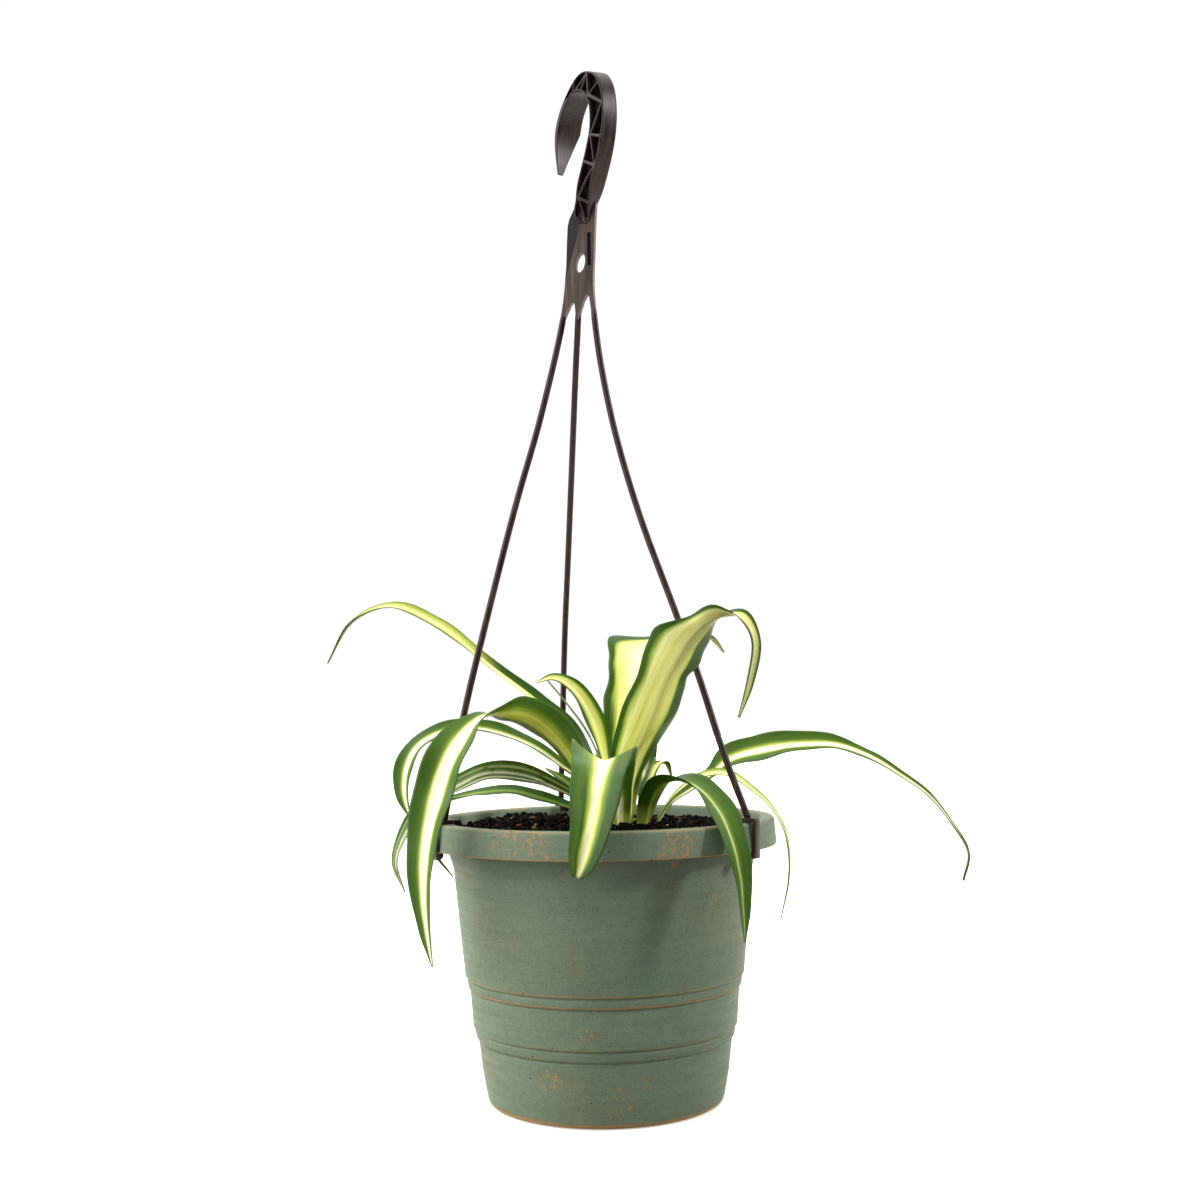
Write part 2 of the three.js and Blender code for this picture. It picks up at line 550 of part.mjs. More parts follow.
const part = new THREE.Group();
part.add(named('pot', potSolid(), potPlastic));
part.add(named('soil', soilSolid(), pottingMix));
part.add(plant);
part.add(named('hanger', hangerSolid(), hangerPlastic));

export default part;
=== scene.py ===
from functools import partial

import bmesh
import bpy
import numpy as np
from mathutils import Matrix, Vector


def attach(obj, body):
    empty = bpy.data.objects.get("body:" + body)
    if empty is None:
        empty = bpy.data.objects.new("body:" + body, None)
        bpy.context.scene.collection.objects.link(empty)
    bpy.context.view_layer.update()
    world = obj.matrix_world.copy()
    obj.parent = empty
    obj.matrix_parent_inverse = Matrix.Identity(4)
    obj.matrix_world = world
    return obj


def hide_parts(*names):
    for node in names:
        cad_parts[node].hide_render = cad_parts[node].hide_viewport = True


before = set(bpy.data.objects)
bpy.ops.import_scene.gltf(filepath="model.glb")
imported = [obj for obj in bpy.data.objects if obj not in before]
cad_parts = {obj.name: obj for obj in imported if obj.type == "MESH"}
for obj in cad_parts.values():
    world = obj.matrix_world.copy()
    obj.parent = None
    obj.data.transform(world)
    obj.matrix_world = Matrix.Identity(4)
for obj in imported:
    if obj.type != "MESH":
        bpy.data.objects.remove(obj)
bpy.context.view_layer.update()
print("frame loaded,", len(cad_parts), "nodes")

mm = 0.001


# Small tools: colours and nodes, grids of points and their faces, pieces.
def toLinear(hexCode):
    # sRGB hex to a linear colour with alpha
    parts = np.array([int(hexCode[i:i + 2], 16) for i in (0, 2, 4)]) / 255
    linear = np.where(parts <= 0.04045, parts / 12.92, ((parts + 0.055) / 1.055) ** 2.4)
    return (*linear.tolist(), 1.0)


def addNode(tree, kind, inputs=(), stops=(), out=0, **settings):
    # Inputs are values or other nodes' outputs, in a row from the first socket on or by socket.
    # Stops are a ramp's [place, hex]. Gives back the node's output that is named or numbered out.
    node = tree.nodes.new("ShaderNode" + kind)
    for name, value in settings.items():
        setattr(node, name, value)
    for socket, value in inputs.items() if isinstance(inputs, dict) else enumerate(inputs):
        if isinstance(value, bpy.types.NodeSocket):
            tree.links.new(value, node.inputs[socket])
        else:
            node.inputs[socket].default_value = value
    if stops:
        elements = node.color_ramp.elements
        while len(elements) < len(stops):
            elements.new(0.5)
        for element, (place, hexCode) in zip(elements, stops):
            element.position = place
            element.color = toLinear(hexCode)
    return node.outputs[out]


def startMaterial(name, values):
    # gives the material and addNode for its tree
    material = bpy.data.materials.new(name)
    material.use_nodes = True
    for socket, value in values.items():
        material.node_tree.nodes["Principled BSDF"].inputs[socket].default_value = value
    return material, partial(addNode, material.node_tree)


def finishMaterial(material, links):
    # leads the outputs into the shader's sockets
    tree = material.node_tree
    for socket, output in links.items():
        tree.links.new(output, tree.nodes["Principled BSDF"].inputs[socket])
    return material


def drawLayers(add, place, layers):
    # a noise for each layer, stretched in three ways: layers give x, y and z scale, detail, roughness
    drawn = {}
    for name, (*scale, detail, roughness) in layers.items():
        stretched = add("VectorMath", (place, scale), operation="MULTIPLY")
        drawn[name] = add("TexNoise", {"Vector": stretched, "Scale": 1, "Detail": detail,
                                       "Roughness": roughness})
    return drawn


def unit(vectors):
    # each vector by its own length
    return vectors / np.linalg.norm(vectors, axis=-1, keepdims=True)


def smooth(low, high, value):
    # 0 up to low, 1 from high on and an eased share between
    share = np.clip((value - low) / (high - low), 0, 1)
    return share * share * (3 - 2 * share)


def fullTurn(count):
    # bearings spread evenly round the axis
    return np.linspace(0, 2 * np.pi, count, endpoint=False)


def turnedPoints(profile, columns):
    # a profile of radius and height carried round the axis
    radius, height = np.asarray(profile, float).T[..., None]
    bearing = fullTurn(columns)
    return np.stack([radius * np.cos(bearing), radius * np.sin(bearing), height + 0 * bearing], -1)


def gridFaces(rows, columns, closed=False):
    # quads between the neighbours in a grid of points: the last column joins the first, and if the
    # grid is closed, the last row does too
    row, column = np.mgrid[:rows - 1 + closed, :columns]
    after, row, below = (column + 1) % columns, row * columns, (row + 1) % rows * columns
    return np.stack([row + column, row + after, below + after, below + column], -1).reshape(-1, 4)


def tubeFaces(rows, columns, first=0):
    # a tube's sides and the faces that close its ends; first is the number of its first point
    last = first + (rows - 1) * columns
    return [*(gridFaces(rows, columns) + first).tolist(), list(range(first, first + columns)),
            list(range(last, last + columns))]


def addObject(name, data):
    holder = bpy.data.objects.new(name, data)
    bpy.context.scene.collection.objects.link(holder)
    return holder


def addShell(name, points, faces):
    # an object from points in millimetres, with the faces of its closed shells turned outwards
    mesh = bpy.data.meshes.new(name)
    mesh.from_pydata((np.asarray(points) * mm).reshape(-1, 3).tolist(), [], faces)
    work = bmesh.new()
    work.from_mesh(mesh)
    bmesh.ops.recalc_face_normals(work, faces=work.faces)
    work.to_mesh(mesh)
    work.free()
    return addObject(name, mesh)


def makePiece(name, points, faces, material, slot, node, **attributes):
    # a smooth shell on the one body, with a value or vector for each point in every attribute
    piece = addShell(name, points, faces)
    piece.data.shade_smooth()
    piece.data.materials.append(material)
    for key, values in attributes.items():
        kind, field = ("FLOAT", "value") if values.ndim == 1 else ("FLOAT_VECTOR", "vector")
        layer = piece.data.attributes.new(key, kind, "POINT")
        layer.data.foreach_set(field, values.astype(np.float32).ravel())
    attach(piece, "root")
    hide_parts(node)
    return piece


def cutAway(piece, cutters):
    # subtracts each cutter from the piece and keeps the plain mesh; a cutter's material stays there
    for cutter in cutters:
        cut = piece.modifiers.new("cut", "BOOLEAN")
        cut.material_mode = "TRANSFER" if cutter.data.materials else "INDEX"
        cut.object = cutter
        cut.operation = "DIFFERENCE"
        cut.solver = "EXACT"
    graph = bpy.context.evaluated_depsgraph_get()
    mesh = bpy.data.meshes.new_from_object(piece.evaluated_get(graph))
    piece.modifiers.clear()
    piece.data = mesh
    for cutter in cutters:
        bpy.data.objects.remove(cutter)


def roundEdges(piece, widthMm, overDegrees):
    # a bevel on the edges that turn by more than some degrees
    rounding = piece.modifiers.new("rounded edges", "BEVEL")
    rounding.width = widthMm * mm
    rounding.segments = 3
    rounding.angle_limit = np.radians(overDegrees)
    return rounding


def throughPoints(points, count):
    # A smooth curve through the points: a cubic between each two, with tangents weighed by the square
    # roots of the distances, sampled finely and then spaced evenly. Gives the places, their share of
    # the way from point to point, and their distance along the curve.
    points = np.asarray(points, float)
    ends = np.vstack([2 * points[0] - points[1], points, 2 * points[-1] - points[-2]])
    step = np.linalg.norm(np.diff(ends, axis=0), axis=1) ** 0.5
    before, here, after = step[:-2, None], step[1:-1, None], step[2:, None]
    p0, p1, p2, p3 = ends[:-3], ends[1:-2], ends[2:-1], ends[3:]
    leave = ((p1 - p0) / before - (p2 - p0) / (before + here) + (p2 - p1) / here) * here
    arrive = ((p2 - p1) / here - (p3 - p1) / (here + after) + (p3 - p2) / after) * here
    t = np.linspace(0, 1, 60, endpoint=False)[None, :, None]
    fine = (p1[:, None] * (2 * t**3 - 3 * t**2 + 1) + leave[:, None] * (t**3 - 2 * t**2 + t)
            + p2[:, None] * (3 * t**2 - 2 * t**3) + arrive[:, None] * (t**3 - t**2))
    fine = np.vstack([fine.reshape(-1, points.shape[1]), points[-1:]])
    rows = np.append((np.arange(len(p1))[:, None] + t[0, :, 0]).ravel(), len(p1))
    along = np.append(0, np.cumsum(np.linalg.norm(np.diff(fine, axis=0), axis=1)))
    even = np.linspace(0, along[-1], count)
    places = np.stack([np.interp(even, along, line) for line in fine.T], 1)
    return places, np.interp(even, along, rows), even


# Camera, floor and light.
view = {"lens": 44.0, "sensor": 36, "nearest": 0.01, "place": (0.0003, -0.658, 0.1748),
        "tiltUp": 3.83, "roll": -0.84}


def setCamera():
    data = bpy.data.cameras.new("camera")
    data.lens = view["lens"]
    data.sensor_width = view["sensor"]
    data.clip_start = view["nearest"]
    camera = addObject("camera", data)
    camera.matrix_world = (Matrix.Translation(view["place"])
                           @ Matrix.Rotation(np.radians(90 + view["tiltUp"]), 4, "X")
                           @ Matrix.Rotation(np.radians(view["roll"]), 4, "Z"))
    bpy.context.scene.camera = camera


studio = {
    "floorRadius": 6.0, "rings": 24, "columns": 96, "domeRadius": 7.0, "backdrop": 1.02,
    "ambient": 0.17,
    # each lamp is a sun: the direction it stands in, its strength and its width in degrees
    "lamps": {"left": [(-0.93, -0.26, 0.52), 4.9, 75], "right": [(0.885, -0.125, 0.445), 2.0, 6],
              "back": [(0.1, 1.0, 0.55), 3.4, 110], "overhead": [(0.0, -0.2, 1.0), 1.2, 90]},
}


def setStudio():
    scene = bpy.context.scene
    scene.view_settings.view_transform = "Standard"
    scene.world = bpy.data.worlds.new("soft room light")
    scene.world.use_nodes = True
    room = scene.world.node_tree.nodes["Background"].inputs
    room["Color"].default_value = (1, 1, 1, 1)
    room["Strength"].default_value = studio["ambient"]
    for name, (direction, strength, width) in studio["lamps"].items():
        light = bpy.data.lights.new(name, "SUN")
        light.energy = strength
        light.angle = np.radians(width)
        stands = Vector(direction).normalized()
        turn = (-stands).to_track_quat("-Z", "Y").to_matrix().to_4x4()
        addObject(name, light).matrix_world = Matrix.Translation(stands * 2) @ turn


def addFloor():
    # back-lit paper sweep, matte and near white; the dome behind it is only what the camera sees
    paper, _ = startMaterial("back-lit paper floor", {
        "Base Color": toLinear("f4f1e8"), "Roughness": 0.9, "Specular IOR Level": 0.1,
        "Emission Color": toLinear("fffdf4"), "Emission Strength": 0.38})
    distance = np.linspace(0.0005, 1, studio["rings"]) ** 2 * studio["floorRadius"]
    points = turnedPoints(np.stack([distance, 0 * distance], 1), studio["columns"])
    rings = gridFaces(studio["rings"], studio["columns"])[:, ::-1].tolist()
    sheet = bpy.data.meshes.new("floor")
    sheet.from_pydata(points.reshape(-1, 3).tolist(), [],
                      [*rings, list(range(studio["columns"]))[::-1]])
    glow, add = startMaterial("white backdrop", {})
    tree = glow.node_tree
    tree.nodes.remove(tree.nodes["Principled BSDF"])
    light = add("Emission", {"Color": (1, 1, 1, 1), "Strength": studio["backdrop"]})
    tree.links.new(light, tree.nodes["Material Output"].inputs["Surface"])
    work = bmesh.new()
    bmesh.ops.create_uvsphere(work, u_segments=48, v_segments=24, radius=studio["domeRadius"])
    ball = bpy.data.meshes.new("backdrop")
    work.to_mesh(ball)
    work.free()
    hidden = ("diffuse", "glossy", "transmission", "shadow", "volume_scatter")
    for mesh, material, rays in ((sheet, paper, hidden[:1]), (ball, glow, hidden)):
        mesh.materials.append(material)
        stage = addObject(mesh.name, mesh)
        for ray in rays:
            setattr(stage, "visible_" + ray, False)


# The pot: a turned wall with drain holes.
pot = {
    "columns": 200, "rimTopMm": 122.2, "rimRadiusMm": 76.0, "skirtBottomMm": 110.6,
    "floorTopMm": 3.4, "cornerMm": 0.5,
    "outsideMm": [
        [14, 0], [15, 1.5], [43, 1.5], [44.5, 0], [49, 0], [51.3, 0.8], [52, 2.8], [53.9, 13],
        [55.6, 26.4], [55.4, 27.4], [56.6, 28.2], [57.2, 31.2], [56.9, 32.1], [58, 33],
        [59.2, 48.2], [58.9, 49.2], [60.2, 50.1], [60.5, 52.8], [60.2, 53.8], [61.4, 54.8],
        [63.9, 78.9], [66.1, 101], [66.9, 103.8], [68.9, 110], [70.6, 120.2], [74.4, 120.2],
        [75.2, 110.6], [76.8, 110.6], [76, 121.2], [75.2, 122.2]],
    "insideMm": [
        [70.9, 122.2], [69.8, 121], [68.9, 117], [67.3, 110], [65.3, 104], [64.4, 100],
        [62.3, 79], [59.8, 55], [58.5, 51], [57.5, 47], [56.2, 33.6], [55.3, 29.5], [54, 26],
        [52.2, 13], [50.4, 5], [48.8, 3.4]],
    "drain": {"count": 4, "ringMm": 30, "radiusMm": 4.5, "columns": 32},
    "clay": "a9824f", "pit": "2b2f28",
    "coat": [[0.30, "7b8163"], [0.46, "75856d"], [0.60, "75856d"], [0.72, "6c8372"]],
    # a layer that darkens the coat, its share and its tones from dark to light
    "darkens": [["mottle", 0.4, [[0.30, "bcbcb6"], [0.50, "e4e4e2"], [0.70, "ffffff"]]],
                ["speck", 0.6, [[0.28, "8e8c86"], [0.42, "f0f0ee"], [0.8, "ffffff"]]],
                ["brush", 0.22, [[0.3, "c2c2c0"], [0.5, "ececec"], [0.72, "ffffff"]]]],
    # rubbed lips: height, half width and how much rubbing each takes
    "lipsMm": [[28.3, 0.8, 0.44], [33.1, 0.8, 0.39], [50.2, 0.9, 0.24], [54.9, 0.9, 0.28],
               [1.2, 2.6, 0.22], [121.9, 0.9, 0.38], [110.8, 1.0, 0.31]],
    # rubbed patches: centre, reach and how much rubbing each takes
    "patchesMm": [
        [(-38, -66, 117), 15, 0.52], [(-26, -72, 116), 12, 0.50], [(30, -70, 116), 12, 0.47],
        [(24, -72, 113), 6, 0.46], [(29, -62, 107.5), 3, 0.40], [(-22, -49, 20), 10, 0.53],
        [(4, -54, 11), 13, 0.54], [(17, -52, 19), 8, 0.53], [(-8, -58, 40), 6, 0.52],
        [(44, -47, 92), 6, 0.52]],
}


def roundCorners(profile, radius):
    # each corner becomes a quadratic curve between points a little before and after it
    profile = np.asarray(profile, float)
    here = profile[1:-1]
    start, end = [here + unit(away) * np.minimum(radius, 0.45 * np.linalg.norm(away, axis=1))[:, None]
                  for away in (profile[:-2] - here, profile[2:] - here)]
    t = np.linspace(0, 1, 4)[None, :, None]
    arcs = start[:, None] * (1 - t) ** 2 + 2 * here[:, None] * t * (1 - t) + end[:, None] * t**2
    return np.vstack([profile[:1], arcs.reshape(-1, 2), profile[-1:]])


def potMaterial():
    # Polypropylene, injection moulded and finished like rubbed clay: a matte, cloudy sage coat with
    # faint brush streaks, through which the warm clay colour shows at every edge that was rubbed.
    material, add = startMaterial("moulded polypropylene, rubbed clay finish", {
        "Roughness": 0.62, "IOR": 1.49, "Specular IOR Level": 0.3})
    place = add("TexCoord", out="Object")
    height = add("SeparateXYZ", (place,), out="Z")
    # clouds of 2 to 5 cm, mottling of 3 mm, specks of under 1 mm, streaks 1 to 3 mm high, breaks in
    # the rubbed lines, crumbs of clay colour, ticks of 1.5 by 2 mm and a grain
    drawn = drawLayers(add, place, {
        "clouds": (22, 22, 16, 5, 0.62), "mottle": (300, 300, 300, 5, 0.72),
        "speck": (1500, 1500, 1500, 2, 0.6), "brush": (30, 30, 520, 4, 0.6),
        "breaks": (75, 75, 260, 6, 0.75), "crumbs": (240, 240, 300, 5, 0.75),
        "ticks": (620, 620, 480, 3, 0.7), "grain": (1400, 1400, 1400, 2, 0.5)})
    base = add("ValToRGB", (drawn["clouds"],), pot["coat"])
    for name, share, stops in pot["darkens"]:
        tone = add("ValToRGB", (drawn[name],), stops)
        base = add("Mix", {0: share, 6: base, 7: tone}, out=2, data_type="RGBA",
                   blend_type="MULTIPLY")
    # rubbed places: broken lines where the height is near a lip's, and ticks near a patch's centre
    rubbed = []
    for heightMm, halfMm, need in pot["lipsMm"]:
        off = add("Math", (height, heightMm * mm), operation="SUBTRACT")
        away = add("Math", (off,), operation="ABSOLUTE")
        near = add("MapRange", (away, 0, halfMm * mm, 1, 0))
        rubbed.append((drawn["breaks"], near, need, 0.14))
    for centreMm, reachMm, need in pot["patchesMm"]:
        centre = [c * mm for c in centreMm]
        away = add("VectorMath", (place, centre), out="Value", operation="DISTANCE")
        near = add("MapRange", (away, reachMm * mm * 0.5, reachMm * mm, 1, 0))
        rubbed.append((drawn["ticks"], near, need, 0.16))
    total = add("MapRange", (drawn["crumbs"], 0.72, 0.76, 0, 0.35))
    for noise, near, need, edge in rubbed:
        worn = add("Math", (noise, near, -need), operation="MULTIPLY_ADD")
        sharp = add("MapRange", (worn, 0, edge, 0, 0.9))
        total = add("Math", (total, sharp), operation="MAXIMUM")
    base = add("Mix", {0: total, 6: base, 7: toLinear(pot["clay"])}, out=2, data_type="RGBA")
    # pits: dark specks of half a millimetre, about one in each square centimetre
    cells = add("TexVoronoi", {"Vector": place, "Scale": 110, "Randomness": 1.0})
    pits = add("MapRange", (cells, 0.035, 0.05, 1, 0))
    base = add("Mix", {0: pits, 6: base, 7: toLinear(pot["pit"])}, out=2, data_type="RGBA")
    rough = add("MapRange", (drawn["brush"], 0.3, 0.7, 0.7, 0.54))
    uneven = add("Math", (drawn["brush"], 0.4, drawn["grain"]), operation="MULTIPLY_ADD")
    bump = add("Bump", {"Height": uneven, "Strength": 0.3, "Distance": 0.0002})
    return finishMaterial(material, {"Base Color": base, "Roughness": rough, "Normal": bump})


def makePot():
    # The wall is one profile, outside then inside, carried round the axis; both floors close it.
    profile = roundCorners(pot["outsideMm"] + pot["insideMm"], pot["cornerMm"])
    piece = makePiece("pot_wall", turnedPoints(profile, pot["columns"]),
                      tubeFaces(len(profile), pot["columns"]), potMaterial(), "pot_plastic", "pot")
    drain = pot["drain"]
    hole = turnedPoints([[drain["radiusMm"], -3], [drain["radiusMm"], 8]], drain["columns"])
    cutters = []
    for i in range(drain["count"]):
        bearing = (i + 0.5) / drain["count"] * 2 * np.pi
        middle = [drain["ringMm"] * np.cos(bearing), drain["ringMm"] * np.sin(bearing), 0]
        cutters.append(addShell("cutter", hole + middle, tubeFaces(2, drain["columns"])))
    cutAway(piece, cutters)
    print("pot done,", len(piece.data.polygons), "faces")


# The soil: a bed and loose crumbs, and what the crown gives them.
crown = {"xMm": 9, "yMm": -2, "radiusMm": 16, "bottomMm": 106, "edgeMm": 118.4, "topMm": 122.4,
         "sinkMm": 4.5, "rings": 22, "columns": 144, "lobes": 4.5, "lobeMm": 0.9,
         "tones": ["55661f", "8c9b4a", "c2c885"]}
soil = {
    "levelMm": 117.2, "moundMm": 3, "moundReachMm": 34, "heapMm": 3.4, "heapAtMm": (-34, 34),
    "heapReachMm": (17, 18), "waveMm": 0.55, "lumpSeed": 3, "lumps": 36, "lumpLongMm": (2.0, 9.0),
    "edgeMm": 68.6, "wallGapMm": 0.4, "floorGapMm": 0.3, "columns": 240, "rings": 90,
    "crumbs": 5200, "seed": 5, "crumbMm": 0.55,
    # peat, humus, bark, rusty bark, straw and perlite, by tint
    "tones": [[0.05, "020101"], [0.30, "060302"], [0.62, "3a2112"], [0.80, "5a3b20"],
              [0.95, "8d7346"], [1.0, "c9bfa2"]],
}


def soilHeight(x, y):
    # a low mound round the plant, a heap at the back left and three crossed waves
    away = np.hypot(x - crown["xMm"], y - crown["yMm"])
    mound = soil["moundMm"] * np.exp(-((away / soil["moundReachMm"]) ** 2))
    (heapX, heapY), (reachX, reachY) = soil["heapAtMm"], soil["heapReachMm"]
    heap = soil["heapMm"] * np.exp(-(((x - heapX) / reachX) ** 2) - ((y - heapY) / reachY) ** 2)
    waves = (np.sin(x * 0.42 + 1.3) * np.sin(y * 0.38) + 0.6 * np.sin(x * 0.83 - y * 0.57 + 2)
             + 0.4 * np.sin(x * 0.31 + y * 0.91))
    return soil["levelMm"] + mound + heap + soil["waveMm"] * waves


def soilLumps(x, y):
    # small lumps: plane waves of random heading and length, the short ones lower
    random = np.random.default_rng(soil["lumpSeed"])
    heading = random.uniform(0, 2 * np.pi, soil["lumps"])
    lengthMm = random.uniform(*soil["lumpLongMm"], soil["lumps"])
    shift = random.uniform(0, 2 * np.pi, soil["lumps"])
    phase = (x[..., None] * np.cos(heading) + y[..., None] * np.sin(heading)) * 2 * np.pi / lengthMm
    return (np.sin(phase + shift) * lengthMm).sum(-1) * 0.014


def soilMaterial():
    # Potting mix, peat with composted bark and a little perlite: matte, damp and almost black, so
    # only the drier crumbs, the reddish bark and the straw bits show a colour.
    material, add = startMaterial("damp peat and bark potting mix", {
        "Roughness": 0.95, "Specular IOR Level": 0.08})
    tint = add("Attribute", out="Fac", attribute_name="tint")
    place = add("TexCoord", out="Object")
    grit = add("TexNoise", {"Vector": place, "Scale": 700, "Detail": 4, "Roughness": 0.7})
    shade = add("Math", (grit, 0.16, tint), operation="MULTIPLY_ADD")
    bump = add("Bump", {"Height": grit, "Strength": 0.8, "Distance": 0.0006})
    return finishMaterial(material, {"Base Color": add("ValToRGB", (shade,), soil["tones"]),
                                     "Normal": bump})


def crumbShapes(count, random):
    # twenty-sided lumps, each stretched three ways, dented at random and turned at random
    work = bmesh.new()
    bmesh.ops.create_icosphere(work, subdivisions=1, radius=1.0)
    ball = np.array([v.co[:] for v in work.verts])
    sides = np.array([[v.index for v in f.verts] for f in work.faces])
    work.free()
    size = np.exp(random.normal(np.log(soil["crumbMm"]), 0.45, count)).clip(0.25, 2.0)
    stretch = np.stack([random.uniform(0.8, 1.7, count), random.uniform(0.7, 1.2, count),
                        random.uniform(0.5, 1.0, count)], 1)
    dents = random.uniform(0.6, 1.25, (count, len(ball), 1))
    x, y, z = np.moveaxis(ball[None] * dents * (size[:, None] * stretch)[:, None], -1, 0)
    yaw = random.uniform(0, 2 * np.pi, (count, 1))
    pitch = random.uniform(-0.6, 0.6, (count, 1))
    x, z = x * np.cos(pitch) - z * np.sin(pitch), x * np.sin(pitch) + z * np.cos(pitch)
    turned = [x * np.cos(yaw) - y * np.sin(yaw), x * np.sin(yaw) + y * np.cos(yaw), z]
    return np.stack(turned, -1), sides, size


def makeSoil():
    # The top is a disc lifted by soilHeight and the small lumps; the side follows the pot's inside.
    random = np.random.default_rng(soil["seed"])
    material = soilMaterial()
    distance = np.linspace(0, 1, soil["rings"])[1:, None] ** 0.8 * soil["edgeMm"]
    bearing = fullTurn(soil["columns"])
    x, y = distance * np.cos(bearing), distance * np.sin(bearing)
    fade = 1 - 0.7 * smooth(0.9, 1.0, distance / soil["edgeMm"])
    top = np.stack([x, y, soilHeight(x, y) + soilLumps(x, y) * fade], -1)
    wall = [[r - soil["wallGapMm"], h] for r, h in pot["insideMm"] if h < soil["levelMm"] - 1]
    bottom = pot["floorTopMm"] + soil["floorGapMm"]
    side = turnedPoints(wall + [[20, bottom]], soil["columns"])
    side[-2:, :, 2] = bottom
    points = np.concatenate([top, side])
    makePiece("soil_bed", points, tubeFaces(len(points), soil["columns"]), material,
              "potting_mix", "soil", tint=0.12 + 0.1 * random.random(points[..., 0].size))
    count = soil["crumbs"]
    shapes, sides, size = crumbShapes(count, random)
    far = np.sqrt(random.random(count)) * (soil["edgeMm"] - 1.6)
    bearing = random.uniform(0, 2 * np.pi, count)
    x, y = far * np.cos(bearing), far * np.sin(bearing)
    # a crumb is about 0.81 of its size high, and its middle lies near the soil's surface
    high = size * (1 + 5 ** 0.5) / 4
    z = soilHeight(x, y) + soilLumps(x, y) + high * random.uniform(-0.1, 0.5, count)
    corners = (np.arange(count)[:, None, None] * shapes.shape[1] + sides).reshape(-1, 3)
    kind = random.random(count)
    tint = np.select([kind < 0.72, kind < 0.90, kind < 0.965, kind < 0.992],
                     [0.10, 0.34, 0.58, 0.78], 0.93) + random.uniform(-0.08, 0.06, count)
    crumbs = makePiece("soil_crumbs", shapes + np.stack([x, y, z], 1)[:, None], corners.tolist(),
                       material, "potting_mix", "soil", tint=np.repeat(tint, shapes.shape[1]))
    crumbs.data.shade_flat()
    print("soil done,", count, "crumbs")


# The leaves.
leafBuild = {"stationMm": 1.5, "columns": 21, "thickMm": 0.62, "edgeMm": 0.28, "foldDegrees": 24,
             "waistMm": (9, 4.3), "waveMm": (8.5, 3.7), "waveHeight": 0.12}

# margin greens, the yellow-green between margin and stripe, and the stripe's creams
shades = {
    "deep": "25400d", "green": "385718", "moss": "4d6c27", "leaf": "749038", "lime": "9db44a",
    "yolk": "cdd468", "butter": "ebe98c", "cream": "f8f5b4", "white": "fefbe0", "grey": "8a9a6a",
    "ash": "a3ae80", "pearl": "d2d6ba", "pale": "dbe0a0", "brown": "3f2a16",
}

# Each look gives the blade's tones near the crown and beyond it, each with its place in percent
# from one margin to the other, and the shares of the length between which it changes.
looks = {
    "wide cream": [
        "0 deep 21 green 24 lime 28 butter 40 cream 48 butter 56 cream 68 butter 82 cream 88 lime "
        "92 green 100 deep",
        "0 green 16 moss 22 lime 32 cream 50 cream 66 cream 76 lime 82 green 100 green",
        0.7, 0.8],
    "white stripe": [
        "0 green 26 moss 31 leaf 37 yolk 42 white 60 white 64 yolk 69 leaf 74 moss 100 green",
        "0 green 24 moss 29 leaf 34 yolk 38 white 60 white 65 yolk 70 leaf 76 moss 100 green",
        0.4, 0.6],
    "front stripe": [
        "0 green 22 moss 29 leaf 35 yolk 41 white 58 white 62 butter 68 lime 74 leaf 84 moss 100 green",
        "0 deep 24 green 33 leaf 39 yolk 44 cream 57 white 61 butter 66 lime 72 green 82 moss 100 green",
        0.4, 0.75],
    "bright middle": [
        "0 deep 20 green 26 lime 32 butter 50 butter 70 cream 80 butter 86 lime 92 green 100 deep",
        "0 green 12 green 16 lime 22 butter 50 cream 80 cream 88 lime 93 green 100 green",
        0.3, 0.5],
    "yellow then white": [
        # near the crown the stripe is yellow-green with a deep margin, painted shade for the underside in
        # shade; beyond it the stripe is white
        "0 green 18 moss 25 leaf 32 lime 42 butter 58 yolk 68 leaf 75 green 100 deep",
        "0 green 22 moss 28 leaf 32 yolk 37 white 62 white 67 yolk 71 leaf 77 moss 100 green",
        0.38, 0.48],
    "green then cream": [
        "0 yolk 8 cream 40 cream 46 butter 52 leaf 58 green 100 deep",
        "0 moss 14 leaf 26 yolk 50 cream 74 yolk 88 lime 100 moss",
        0.45, 0.6],
    "pale narrow": [
        "0 leaf 12 lime 24 pale 50 cream 76 pale 88 lime 100 leaf",
        "0 leaf 14 lime 30 pale 50 cream 70 pale 86 lime 100 leaf",
        0.4, 0.6],
    "cream middle": [
        "0 deep 22 green 28 leaf 34 yolk 50 butter 70 butter 76 lime 82 green 100 deep",
        "0 green 14 green 20 leaf 28 yolk 50 cream 76 yolk 84 leaf 90 green 100 green",
        0.3, 0.5],
    "soft line": [
        "0 deep 40 green 46 leaf 51 lime 56 leaf 62 green 100 deep",
        "0 green 34 moss 44 leaf 50 pale 56 leaf 68 moss 100 green",
        0.25, 0.4],
    "old striped": [
        "0 deep 10 green 15 ash 22 pearl 28 moss 36 deep 43 ash 52 pearl 60 moss 70 green 78 ash 86 moss "
        "100 deep",
        "0 moss 12 grey 20 pearl 28 moss 38 green 46 ash 54 pearl 62 grey 72 moss 80 ash 88 moss "
        "100 green",
        0.3, 0.6],
    "plain green": [
        "0 deep 36 green 48 leaf 56 leaf 68 green 100 deep",
        "0 green 36 moss 48 leaf 56 lime 68 moss 100 green",
        0.3, 0.6],
}

